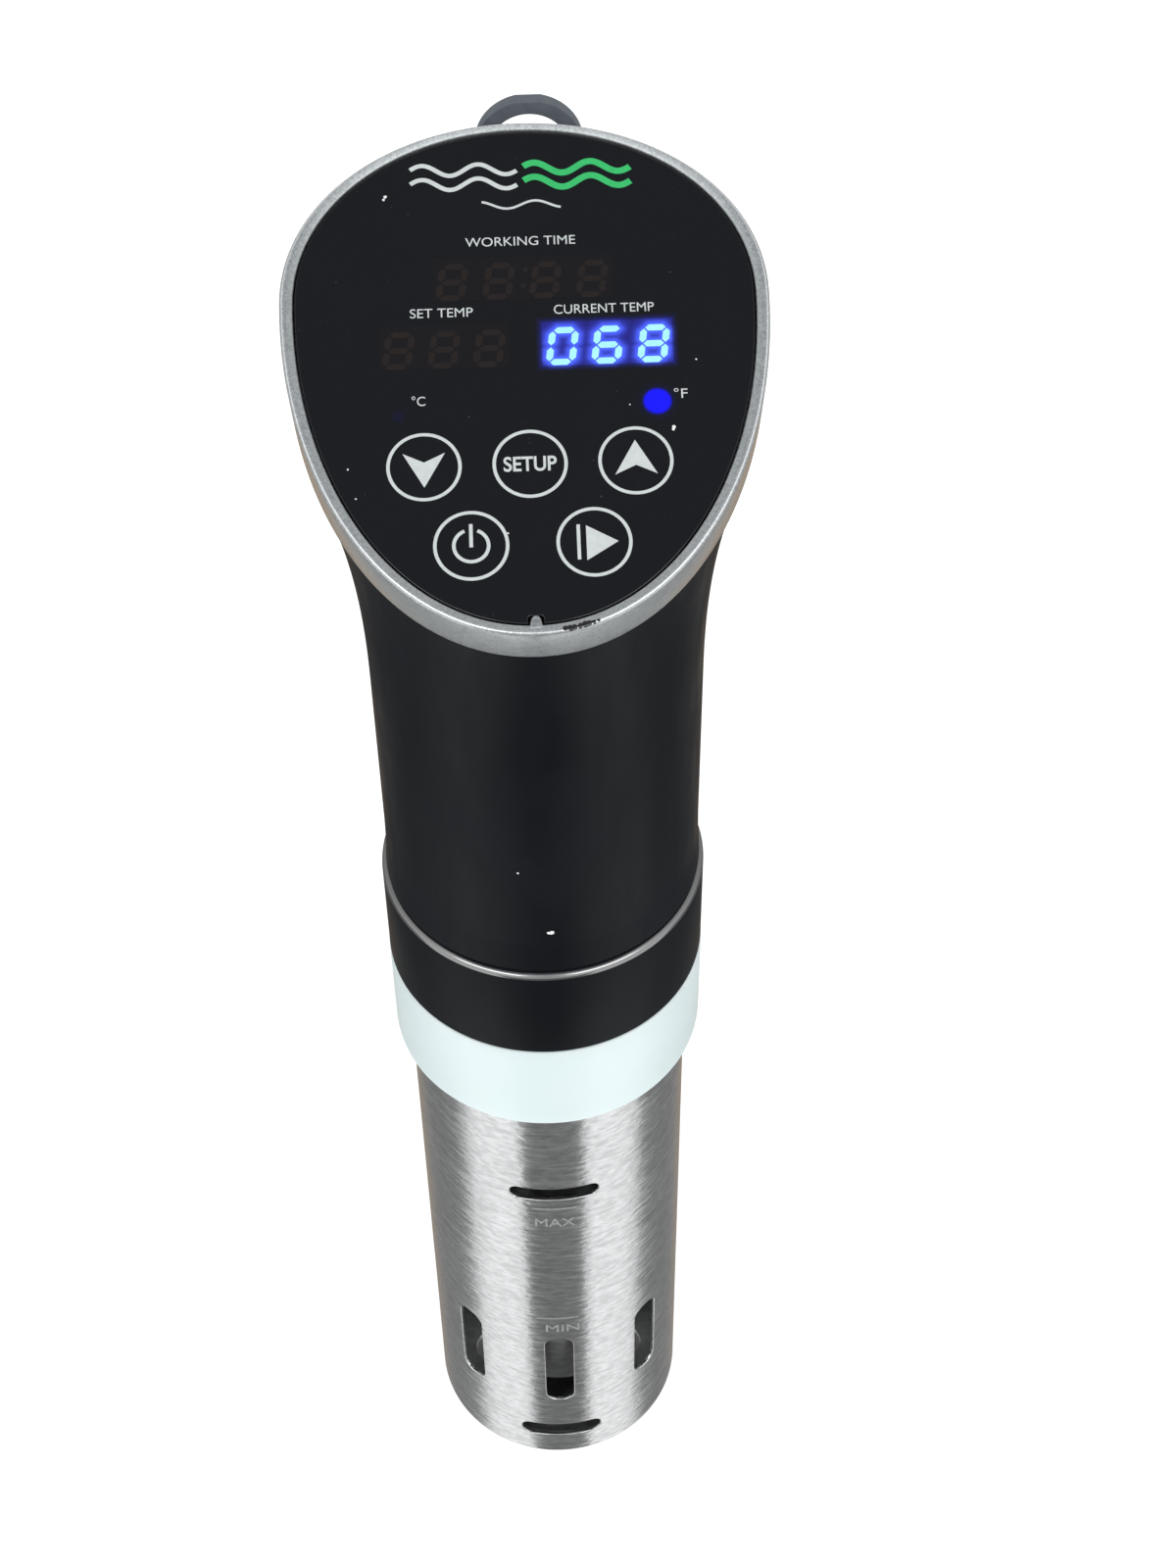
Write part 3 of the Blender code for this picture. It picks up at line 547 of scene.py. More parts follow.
def make_camera():
    """Set from above the panel, looking down along the circulator."""
    yaw, pitch, roll = (radians(a) for a in CAMERA_TURN)
    camera = placed("camera", bpy.data.cameras.new("camera"))
    camera.location = CAMERA_PLACE
    camera.data.sensor_width, camera.data.lens = 36, CAMERA_LENS
    ahead = Vector((sin(yaw) * cos(pitch), cos(yaw) * cos(pitch), -sin(pitch)))
    right = Vector((cos(yaw), -sin(yaw), 0))
    down = ahead.cross(right)
    x_axis = right * cos(roll) + down * sin(roll)
    y_axis = right * sin(roll) - down * cos(roll)
    camera.rotation_euler = Matrix((x_axis, y_axis, -ahead)).transposed().to_euler()
    bpy.context.scene.camera = camera


# ---- steel


def rolled(name, node, material, holes, middle):
    """A flat sheet with punched holes, rolled into the tube of a node. Holes are outlines of
    (arc, height) counted from the middle angle, which is opposite the tube's seam."""
    radius, start, end = high(node).x, low(node).z, high(node).z
    half = pi * radius
    spare = half + 3.0
    flat = slab(name, material, [(-spare, start), (spare, start), (spare, end), (-spare, end)], 0, SHEET, "Y")
    carve(flat, [cutter(hole, -SHEET, 2 * SHEET, "Y") for hole in holes])
    round_edges(flat, SHEET_EDGE)
    bm = bmesh.new()
    bm.from_mesh(flat.data)
    bpy.data.objects.remove(flat)
    resized(bm, 1 / MM)
    cuts = int(2 * half / ROLL_STEP)
    for k in range(cuts + 1):
        arc = -half + 2 * half * k / cuts
        everything = bm.verts[:] + bm.edges[:] + bm.faces[:]
        ends = {"clear_inner": k == 0, "clear_outer": k == cuts}
        bmesh.ops.bisect_plane(bm, geom=everything, plane_co=(arc, 0, 0), plane_no=(1, 0, 0), **ends)
    for v in bm.verts:
        v.co = around(radius - v.co.y, middle + v.co.x / radius, v.co.z)
    tube = made_from(bm, name, material)
    reshade(tube.data, radial)
    return tube


def make_skirt(steel, cap_steel):
    middle = tau / SLOT_COUNT / 2
    holes = []
    for k in range(SLOT_COUNT):
        arc = TUBE_R * (tau / SLOT_COUNT * (k - SLOT_COUNT // 2 + 1) - middle)
        holes.append(rectangle(SLOT_WIDTH, SLOT_HIGH - SLOT_LOW, 3.0, (arc, (SLOT_LOW + SLOT_HIGH) / 2)))
    level_arc = 2 * TUBE_R * asin(LEVEL_SLOT_WIDTH / 2 / TUBE_R)
    for start, end in LEVEL_SLOTS:
        place = (-TUBE_R * middle, (start + end) / 2)
        holes.append(rectangle(level_arc, end - start, (end - start) * 0.45, place))
    tube = rolled("skirt_tube", "steel_skirt", steel, holes, middle)
    finished(tube, "skirt", "skirt_steel", "steel_skirt")

    rim, cap_high = high("bottom_cap").x, high("bottom_cap").z
    corners = [(0, 0), (rim, 0), (rim, cap_high), (rim - 1, cap_high), (rim - 1, 1.5), (0, 1.5)]
    profile = fillet(corners, [0, 0.8, 0.2, 0.2, 0.6, 0], closed=False)
    cap = lathe("skirt_cap", cap_steel, profile, 144)
    carve(cap, [cutter(circle(INTAKE_R, 48, place), -2, 4) for place in spaced(INTAKE_RING_R, 6)])
    round_edges(cap, 0.15, 2, 40)
    finished(cap, "skirt", "skirt_steel", "bottom_cap")


def ring_of(name, node, material, radii, steps):
    """A ring of square section in the place of a node, round the top of the sleeve."""
    outer, start, end = high(node).x, low(node).z, high(node).z
    corners = [(SLEEVE_R, start), (outer, start), (outer, end), (SLEEVE_R, end)]
    return lathe(name, material, fillet(corners, radii, steps), 240)


def make_ring(milk):
    ring = ring_of("milk_ring", "light_ring", milk, [0.3, 1.5, 0.25, 0.2], 6)
    finished(ring, "body", "ring_white", "light_ring")


def make_collar(black, edge):
    """The collar's upper edge has a lighter, glossier copy of its black plastic, a painted highlight along
    the edge.
    """
    collar = ring_of("grip_collar", "collar", black, [0.2, 0.3, 1.2, 0.2], 8)
    collar.data.materials.append(edge)
    edge_low = (high("collar").z - COLLAR_EDGE) * MM
    for face in collar.data.polygons:
        if face.normal.z > 0.05 and face.center.z > edge_low:
            face.material_index = 1
    finished(collar, "body", "casing_black", "collar")


def make_flow_sleeve(steel):
    radius = high("flow_sleeve").x
    windows = [rectangle(11, 12, 2, (radius * radians(90 * k - 45), 127)) for k in range(-1, 3)]
    sleeve = rolled("inner_sleeve", "flow_sleeve", steel, windows, radians(45))
    finished(sleeve, "body", "skirt_steel", "flow_sleeve")


def etched(name, bm, height):
    """Bends flat marks round the front of the skirt, a few hundredths of a millimetre proud."""
    mark = made_from(bm, name, LOOKS["etch"])
    for v in mark.data.vertices:
        v.co = around(TUBE_R * MM + v.co.z, v.co.x / MM / TUBE_R, v.co.y + height * MM)
    return finished(mark, "skirt", "skirt_steel")


def thickened(bm, thick):
    """Gives flat faces a thickness, half of it to either side."""
    pushed(bm, bmesh.ops.extrude_face_region(bm, geom=bm.faces[:]), (0, 0, thick))
    bmesh.ops.translate(bm, vec=(0, 0, -thick / 2), verts=bm.verts)
    return bm


def strip(pieces):
    """Flat pieces side by side, so that a long mark can bend."""
    bm = bmesh.new()
    for outline in pieces:
        bm.faces.new([bm.verts.new((a, b, 0)) for a, b in outline])
    bmesh.ops.remove_doubles(bm, verts=bm.verts, dist=1e-4)
    return thickened(bm, ETCH_THICK)


# ---- marks and print


def outlined(curve):
    """The mesh of a curve or of words, in millimetres."""
    holder = placed("holder", curve)
    graph = bpy.context.evaluated_depsgraph_get()
    mesh = bpy.data.meshes.new_from_object(holder.evaluated_get(graph))
    bpy.data.objects.remove(holder)
    bm = bmesh.new()
    bm.from_mesh(mesh)
    bpy.data.meshes.remove(mesh)
    return bm


def traced(curve, points, closed):
    spline = curve.splines.new("POLY")
    spline.points.add(len(points) - 1)
    for target, point in zip(spline.points, points):
        target.co = (*point, 1)
    spline.use_cyclic_u = closed


def drawn(outlines):
    """Closed outlines, filled. One that lies inside another is a hole in it."""
    curve = bpy.data.curves.new("outlines", "CURVE")
    curve.dimensions = "2D"
    curve.fill_mode = "BOTH"
    curve.extrude = PRINT_THICK / 2
    for outline in outlines:
        traced(curve, [(a, b, 0) for a, b in outline], True)
    return outlined(curve)


def lettered(words, width, height, centre, thick=PRINT_THICK, weight=0.0):
    """Words in the plain built-in face, fitted to a width and a height."""
    curve = bpy.data.curves.new("words", "FONT")
    curve.body = words
    curve.size = 10
    curve.offset = weight
    bm = outlined(curve)
    xs = [v.co.x for v in bm.verts]
    ys = [v.co.y for v in bm.verts]
    middle = Vector(((min(xs) + max(xs)) / 2, (min(ys) + max(ys)) / 2, 0))
    fit = Matrix.Diagonal((width / (max(xs) - min(xs)), height / (max(ys) - min(ys)), 1, 1))
    bm.transform(shift(*centre, 0) @ fit @ shift(*-middle))
    return thickened(bm, thick)


def band(points, width):
    """The outline of a line drawn along open points."""
    left, right = [], []
    for i, point in enumerate(points):
        here = Vector(point)
        before = Vector(points[max(i - 1, 0)])
        after = Vector(points[min(i + 1, len(points) - 1)])
        along = (after - before).normalized()
        side = Vector((-along.y, along.x)) * width / 2
        left.append(tuple(here + side))
        right.append(tuple(here - side))
    return left + right[::-1]


def arc(radius, width, start, end):
    """Part of a ring, drawn anticlockwise from start to end in degrees."""
    turns = [radians(start + (end - start) * k / 40) for k in range(41)]
    return band([(radius * cos(t), radius * sin(t)) for t in turns], width)


SEGMENTS = {  # ends of each bar of a digit, in half widths and half heights
    "a": ((-1, 1), (1, 1)),
    "b": ((1, 1), (1, 0)),
    "c": ((1, 0), (1, -1)),
    "d": ((-1, -1), (1, -1)),
    "e": ((-1, 0), (-1, -1)),
    "f": ((-1, 1), (-1, 0)),
    "g": ((-1, 0), (1, 0)),
}
DIGITS = {"0": "abcdef", "6": "acdefg", "8": "abcdefg"}
DIGIT_HALF_WIDTH, DIGIT_HALF_HEIGHT = 2.0, 3.1
DIGIT_BAR, DIGIT_BREAK = 1.2, 0.2
DIGIT_SLANT = tan(radians(8.0))


def segment(name, centre):
    """One bar of a digit, with pointed ends and a thin break before its neighbours."""
    (ax, ay), (bx, by) = SEGMENTS[name]
    start = Vector((ax * DIGIT_HALF_WIDTH, ay * DIGIT_HALF_HEIGHT))
    end = Vector((bx * DIGIT_HALF_WIDTH, by * DIGIT_HALF_HEIGHT))
    along = (end - start).normalized()
    side = Vector((-along.y, along.x)) * DIGIT_BAR / 2
    start += along * DIGIT_BREAK
    end -= along * DIGIT_BREAK
    point = along * DIGIT_BAR / 2
    corners = (start, start + point + side, end - point + side, end, end - point - side, start + point - side)
    return [(centre[0] + c.x + c.y * DIGIT_SLANT, centre[1] + c.y) for c in corners]


def distance_to(point, outline):
    """How far a point is from a convex anticlockwise or clockwise outline. 0 inside it."""
    here = Vector(point)
    best, signs = 1e9, set()
    for i, corner in enumerate(outline):
        a, b = Vector(outline[i - 1]), Vector(corner)
        line = b - a
        share = max(0.0, min(1.0, (here - a).dot(line) / line.length_squared))
        best = min(best, (here - a - line * share).length)
        signs.add(line.cross(here - a) > 0)
    return 0.0 if len(signs) == 1 else best


def glow(name, material, centre, half_width, half_height, colour_at):
    """A thin sheet in the panel whose points each carry the light that colour_at gives them."""
    bm = bmesh.new()
    columns, rows = (int(2 * half / GLOW_STEP) + 1 for half in (half_width, half_height))
    grid = []
    for j in range(rows + 1):
        v = centre[1] - half_height + 2 * half_height * j / rows
        us = [centre[0] - half_width + 2 * half_width * i / columns for i in range(columns + 1)]
        grid.append([bm.verts.new((u, v, GLOW_HEIGHT)) for u in us])
    for j in range(rows):
        for i in range(columns):
            bm.faces.new((grid[j][i], grid[j][i + 1], grid[j + 1][i + 1], grid[j + 1][i]))
    places = [(v.co.x, v.co.y) for v in bm.verts]
    border = [e for e in bm.edges if e.is_boundary]
    pushed(bm, bmesh.ops.extrude_edge_only(bm, edges=border), (0, 0, -0.02))
    places += [None] * (len(bm.verts) - len(places))
    bm.transform(PANEL_FRAME)
    resized(bm, MM)
    mesh = meshed(bm, name, material)
    light = mesh.attributes.new("light", "FLOAT_COLOR", "POINT")
    for place, target in zip(places, light.data):
        target.color = (*colour_at(place), 1.0) if place else (0, 0, 0, 1)
    return finished(placed(name, mesh), "body", "lens_blue")


# ---- head


def egg(angle, side=0.0, front=0.0, back=0.0):
    """A point of the panel's outline, grown by side, front and back. Angle 0 is the front tip."""
    sine, cosine = sin(angle), cos(angle)
    power = 2 / EGG_POWER
    u = (EGG_SIDE + side) * copysign(abs(sine) ** power, sine)
    reach = EGG_FRONT + front if cosine > 0 else EGG_BACK + back
    return u, -reach * copysign(abs(cosine) ** power, cosine)


def egg_inset(angle, inset):
    return egg(angle, -inset, -inset, -inset)


def bezel_height(v):
    """The bezel's side is deeper at the back than at the front."""
    share = (v + EGG_FRONT) / (EGG_FRONT + EGG_BACK)
    return BEZEL_FRONT_HEIGHT + (BEZEL_BACK_HEIGHT - BEZEL_FRONT_HEIGHT) * share


def loft(name, material, sections, closed, matrix=None, sharp=32.0):
    """Joins equal closed sections. An open run is capped by a strip between its outer and inner points."""
    bm = bmesh.new()
    loops = [[bm.verts.new(point) for point in section] for section in sections]
    count = len(loops[0])
    for i in range(0 if closed else 1, len(loops)):
        for k in range(count):
            bm.faces.new((loops[i - 1][k - 1], loops[i - 1][k], loops[i][k], loops[i][k - 1]))
    if not closed:
        for loop in (loops[0], loops[-1]):
            for k in range(count // 2 - 1):
                bm.faces.new((loop[k], loop[k + 1], loop[count - 2 - k], loop[count - 1 - k]))
    return made_from(bm, name, material, matrix, sharp)


def make_bezel(paint, painted_crest_highlight):
    sections = []
    points = 240
    for k in range(points):
        angle = tau * k / points
        depth = -bezel_height(egg(angle)[1])
        corners = [(2, depth), (2, -0.55), (1.6, 0), (0.15, -0.5), (0, -0.75), (0, -LEDGE)]
        radii = [0.35, 0.35, 0.45, 0.2, 0.1, 0.1]
        corners += [(-3, -LEDGE), (-3, -LEDGE - 1.5), (-0.2, -LEDGE - 1.5), (-0.2, depth)]
        radii += [0.2, 0.2, 0.2, 0.2]
        section = []
        for across, height in fillet(corners, radii, 4):
            if across > 0:
                share = across / 2
                u, v = egg(angle, RIM_SIDE * share, RIM_FRONT * share, RIM_BACK * share)
            else:
                u, v = egg_inset(angle, -across)
            section.append((u, v, height))
        sections.append(section)
    bezel = loft("bezel_ring", paint, sections, True, PANEL_FRAME, 50.0)
    bezel.data.materials.append(painted_crest_highlight)
    # The crest faces take a lighter copy of the silver paint, a painted highlight along the bezel's crest
    to_panel = PANEL_FRAME.inverted()
    for face in bezel.data.polygons:
        if (to_panel @ (face.center / MM)).z > CREST_LOW:
            face.material_index = 1
    finished(bezel, "body", "bezel_silver", "bezel")
    nub_outline = [(-1.2, -0.9), (1.2, -0.9), (0.75, 0.9), (0.35, 1.35), (-0.35, 1.35), (-0.75, 0.9)]
    place = PANEL_FRAME @ shift(0, -EGG_FRONT + 0.2, 0)
    nub = slab("bezel_nub", paint, fillet(nub_outline, 0.25), -1.4, -0.12, "Z", place)
    finished(round_edges(nub, 0.2), "body", "bezel_silver")


def make_glass(glass):
    outline = [egg_inset(tau * k / 288, GAP) for k in range(288)]
    panel = slab("glass_panel", glass, outline, GLASS_LOW, GLASS_TOP, "Z", PANEL_FRAME)
    notch = rectangle(2.6, 3.2, 0.5, (0, -EGG_FRONT + 0.2))
    carve(panel, [cutter(notch, -3.0, 0.6, "Z", PANEL_FRAME)])
    round_edges(panel, 0.25, 3)
    finished(panel, "body", "panel_glass", "touch_panel")


def print_on(name, ink, shape, height=PRINT_HEIGHT):
    place = PANEL_FRAME @ shift(0, 0, GLASS_TOP + height)
    return finished(made_from(shape, name, ink, place), "body", "lens_blue")


KEY_RADIUS, KEY_LINE = 6.15, 0.6


def make_keys(ink):
    """Five round touch keys and what is printed in each."""
    arrow = [(-3.65, 2.6), (0, 0.85), (3.65, 2.6), (0, -3.9)]
    power = arc(2.95, 0.62, 112, 428)
    start_bar = [(-2.95, -3.2), (-2.35, -3.2), (-2.35, 3.3), (-2.95, 3.3)]
    play = [(-1.35, 3.1), (4.1, 0), (-1.35, -3.4)]
    icons = {
        "key_down": ((-18.2, -32.2), [arrow]),
        "key_setup": ((-0.05, -32.2), []),
        "key_up": ((18.05, -32.2), [[(a, -b) for a, b in arrow]]),
        "key_power": ((-10.5, -47.2), [power, band([(0, -0.3), (0, 4.0)], 0.62)]),
        "key_start": ((10.35, -47.2), [start_bar, play]),
    }
    for name, (centre, shapes) in icons.items():
        ring = [circle(KEY_RADIUS + KEY_LINE / 2, 96), circle(KEY_RADIUS - KEY_LINE / 2, 96)]
        print_on(name, ink, drawn([moved(shape, centre) for shape in ring + shapes]))
    print_on("key_setup_word", ink, lettered("SETUP", 9.1, 2.85, (-0.05, -32.2), weight=0.2))


def make_labels(ink, green):
    """Plain words beside the displays, and a water mark at the back of the panel."""
    labels = {
        "label_time": ("WORKING TIME", 19.4, 1.8, (-0.4, 11.4)),
        "label_set": ("SET TEMP", 11.0, 1.8, (-14.6, -2.5)),
        "label_current": ("CURRENT TEMP", 17.5, 1.8, (13.8, -2.5)),
        "label_celsius": ("\N{DEGREE SIGN}C", 2.35, 1.9, (-18.9, -19.6)),
        "label_fahrenheit": ("\N{DEGREE SIGN}F", 2.35, 1.9, (26.4, -19.6)),
    }
    for name, (words, width, height, centre) in labels.items():
        print_on(name, ink, lettered(words, width, height, centre))

    def wave(start, end, level, rise, width):
        steps = int((end - start) * 4)
        points = []
        for k in range(steps + 1):
            u = start + (end - start) * k / steps
            points.append((u, level + rise * sin(tau * u / 10.0)))
        return band(points, width)

    levels = ((26.2, 1.1), (23.3, 1.1))
    print_on("mark_white", ink, drawn([wave(-19.6, -0.6, level, rise, 0.85) for level, rise in levels]))
    print_on("mark_green", green, drawn([wave(0.6, 19.6, level, rise, 1.25) for level, rise in levels]))
    print_on("mark_lower", ink, drawn([wave(-7.0, 7.0, 18.8, 0.75, 0.45)]))


WINDOWS = {  # centre, width, digits across, shown
    "time": ((-0.2, 4.0), 32.0, (-12.4, -4.2, 4.0, 12.2), ""),
    "set": ((-14.3, -9.2), 22.6, (-7.9, 0.0, 7.9), ""),
    "current": ((14.1, -9.2), 22.9, (-7.8, 0.1, 8.1), "068"),
}
WINDOW_HEIGHT = 8.7
WINDOW_DROP = 0.55  # how far the digits sit below the middle of their window


def make_displays(pane, dim_ink, glow_look, bright_ink):
    for name, (centre, width, columns, shown) in WINDOWS.items():
        places = [(centre[0] + column, centre[1] - WINDOW_DROP) for column in columns]
        if not shown:
            frame_outline = rectangle(width, WINDOW_HEIGHT, 0.3, centre)
            print_on(f"window_{name}", pane, drawn([frame_outline]), 0.015)
            bars = [segment(bar, place) for place in places for bar in SEGMENTS]
            if name == "time":
                for rise in (-1.6, 1.6):
                    bars.append(circle(0.45, 16, (centre[0] + 0.3 + rise * DIGIT_SLANT, centre[1] + rise)))
            print_on(f"digits_{name}", dim_ink, drawn(bars), 0.04)
            continue
        lit = [segment(bar, place) for digit, place in zip(shown, places) for bar in DIGITS[digit]]
        print_on(f"digits_{name}", bright_ink, drawn(lit), 0.05)
        half_width, half_height = width / 2, WINDOW_HEIGHT / 2

        def colour_at(point):
            reach = min(distance_to(point, outline) for outline in lit)
            u, v = point[0] - centre[0], point[1] - centre[1]
            outside = max(abs(u) - half_width, abs(v) - half_height, 0.0)
            fade = max(0.0, 1.0 - outside / GLOW_MARGIN) ** 2 * (1.0 if outside == 0 else 0.5)
            near = exp(-((reach / 0.75) ** 2))
            mid = exp(-reach / 1.3)
            return (
                fade * (0.030 * mid + 0.05 * near + 0.006),
                fade * (0.045 * mid + 0.10 * near + 0.004),
                fade * (0.62 * mid + 0.55 * near + 0.10),
            )

        reach = half_width + GLOW_MARGIN, half_height + GLOW_MARGIN
        glow(f"halo_{name}", glow_look, centre, *reach, colour_at)


LAMPS = {"celsius": ((-22.4, -22.4), 1.1, 0.012), "fahrenheit": ((22.3, -21.0), 2.35, 1.0)}


def make_lamps(glow_look):
    for name, (centre, radius, power) in LAMPS.items():

        def colour_at(point):
            reach = hypot(point[0] - centre[0], point[1] - centre[1])
            disc = max(0.0, min(1.0, (radius + 0.25 - reach) / 0.5))
            halo = 0.10 * exp(-max(0.0, reach - radius) / 0.7) * max(0.0, 1.0 - reach / (radius + 2.2))
            return power * 0.002 * disc, 0.0, power * (disc + halo)

        glow(f"lamp_{name}", glow_look, centre, radius + 1.4, radius + 1.4, colour_at)


# ---- casing


def casing_point(angle, share, inset):
    """A point of the casing above GRIP_TOP, share of the way up to the bezel, inset from its outside."""
    grip = around(GRIP_R - inset, angle, 0)
    grow = 0.4 + inset
    u, v = egg(angle, RIM_SIDE - grow, RIM_FRONT - grow, RIM_BACK - grow)
    rim = PANEL_FRAME @ Vector((u, v, -bezel_height(v) - GAP))
    sweep = share**FLARE
    x, y = (a + (b - a) * sweep for a, b in zip(grip[:2], rim))
    return x, y, GRIP_TOP + (rim.z - GRIP_TOP) * share


def casing_half(name, plastic, middle):
    points = 72
    reach = pi / 2 - GAP / 2 / GRIP_R
    angles = [middle + reach * (2 * k / points - 1) for k in range(points + 1)]
    foot = [
        (GRIP_FOOT_R - 2.8, GRIP_LOW),
        (GRIP_FOOT_R, GRIP_LOW),
        (GRIP_FOOT_R - 0.1, GRIP_LOW + 2.6),
        (GRIP_R + 0.1, GRIP_LOW + 7.8),
        (GRIP_R, 216.0),
        (GRIP_R, GRIP_TOP),
    ]
    rows = fillet(foot, [0, 0.8, 3.0, 6.0, 3.0, 0], 6, closed=False)[1:]
    sections = []
    bore = GRIP_R - WALL
    for radius, height in rows:
        outside = [around(radius, t, height) for t in angles]
        sections.append(outside + [around(bore, t, height) for t in angles[::-1]])
    steps = 36
    for k in range(1, steps + 1):
        outside = [casing_point(t, k / steps, 0) for t in angles]
        sections.append(outside + [casing_point(t, k / steps, WALL) for t in angles[::-1]])
    return round_edges(loft(name, plastic, sections, False), 0.2, 2, 40)


def pinned_shading(obj, work):
    """Runs work on an object and then gives it back the smooth shading it had before."""
    mesh = obj.data
    tree = KDTree(len(mesh.loops))
    normals = []
    for i, loop in enumerate(mesh.loops):
        normals.append(Vector(mesh.corner_normals[i].vector))
        tree.insert(mesh.vertices[loop.vertex_index].co, i)
    tree.balance()
    work()

    def as_before(place, normal):
        total = Vector()
        for _, index, distance in tree.find_n(place, 16):
            if normals[index].dot(normal) > 0.9:
                total += normals[index] / (distance + 1e-6) ** 2
        return total.normalized() if total.length else None

    reshade(obj.data, as_before)


CASING_SCREWS, SCREW_Z = {"casing_screw_left": -20.0, "casing_screw_right": 20.0}, 246.0


def make_casing(plastic):
    front = casing_half("casing_front", plastic, 0.0)
    finished(front, "body", "casing_black", "front_casing")
    rear = casing_half("casing_rear", plastic, pi)

    def cut():
        tools = [cutter(circle(2.9, 48), 14, 40, "Y", shift(x, 0, SCREW_Z)) for x in CASING_SCREWS.values()]
        tools += [cutter(rectangle(2.4, 20, 1.19, (k * 5.2, 226)), 20, 40, "Y") for k in range(-2, 3)]
        tools.append(cutter(circle(6.3, 64), -8, 8, "Z", GLAND_FRAME))
        loop_x, back, loop_z = loop_place()
        pocket = [
            (40, loop_z - 21.4),
            (back - 2, loop_z - 16.9),
            (back - LOOP_THICK - 2, loop_z - 11.6),
            (40, loop_z - 15.2),
        ]
        tools.append(cutter(pocket, loop_x - 6.3, loop_x + 6.3, "X"))
        carve(rear, tools)

    pinned_shading(rear, cut)
    finished(rear, "body", "casing_black", "rear_casing")
    for node, x in CASING_SCREWS.items():
        make_screw(node, (x, 14 + GAP, SCREW_Z))


GLAND_Z = 298.0


def gland_frame():
    """Square to the casing's back, at the height where the mains lead leaves."""
    share = 0.0
    while casing_point(pi, share, 0)[2] < GLAND_Z:
        share += 0.001
    here, above = casing_point(pi, share, 0), casing_point(pi, share + 0.02, 0)
    slope = atan2(above[2] - here[2], above[1] - here[1])
    return shift(*here) @ Matrix.Rotation(slope - pi, 4, "X")


GLAND_FRAME = gland_frame()


def make_gland(rubber):
    corners = [(3.6, -5), (6.0, -5), (6.0, 1.0), (8.0, 1.0), (8.0, 2.6), (6.6, 4.2), (3.6, 4.2)]
    profile = fillet(corners, [0.2, 0.2, 0.1, 0.3, 0.5, 0.5, 0.6], 4)
    gland = lathe("lead_gland", rubber, profile, 96, GLAND_FRAME)
    places = [GLAND_FRAME @ shift(*place, 0) for place in spaced(8.2, 20)]
    carve(gland, [cutter(circle(0.5, 16), 0.5, 3.0, "Z", place) for place in places])
    finished(gland, "body", "rubber_black", "cord_gland")


def loop_place():
    """Across, back face and height of the centre of the hanging eye."""
    most, least = high("hanging_loop"), low("hanging_loop")
    return (least.x + most.x) / 2, most.y, most.z - LOOP_FLAT


def make_loop(grey):
    across, back, centre = loop_place()
    face = back - LOOP_THICK
    side = [
        (back, centre - 5),
        (back, centre - 13),
        (back - 3, centre - 16.5),
        (44, centre - 20),
        (44, centre - 15),
        (face - 2, centre - 12),
        (face, centre - 9.5),
        (face, centre - 5),
    ]
    loop = slab("hanging_eye", grey, fillet(side, [0, 3, 3, 0, 0, 3, 3, 0], 6), across - 6, across + 6, "X")
    place = shift(across, 0, centre)
    outline = [(a, min(b, LOOP_FLAT)) for a, b in circle(LOOP_R, 96)]
    carve(loop, [slab("eye", grey, outline, face, back, "Y", place)], "UNION")
    carve(loop, [cutter(circle(LOOP_HOLE_R, 96), face - 2, back + 2, "Y", place)])
    round_edges(loop, 0.9, 4, 35)
    finished(loop, "body", "loop_grey", "hanging_loop")


def make_screw(node, place):
    """A pan head with a cross recess, facing back, with a plain shank."""
    length = place[1] - low(node).y
    corners = [(0, -length), (1.2, -length), (1.2, 0), (2.4, 0), (2.4, 0.9), (1.6, 1.5), (0, 1.5)]
    profile = fillet(corners, [0, 0.4, 0, 0.15, 0.5, 0.5, 0], 4, closed=False)
    turn = shift(*place) @ spun(-90, "X")
    screw = lathe(f"fixing_{node}", LOOKS["screw"], profile, 48, turn)
    recess = rectangle(2.6, 0.55, 0.1)
    carve(screw, [cutter(recess, 0.7, 2, "Z", turn @ spun(degrees, "Z")) for degrees in (45, 135)])
    return finished(screw, "body", "machined_steel", node)


# ---- pot clip


CLIP_WIDTH, PIN_BORE_R, PAD_HALF = 11.8, 1.8, 1.4
CLIP_Y, CLIP_Z = 42.0, 189.0
CLIP_SCREWS = {"clip_screw_lower": 180.8, "clip_screw_upper": 197.2}


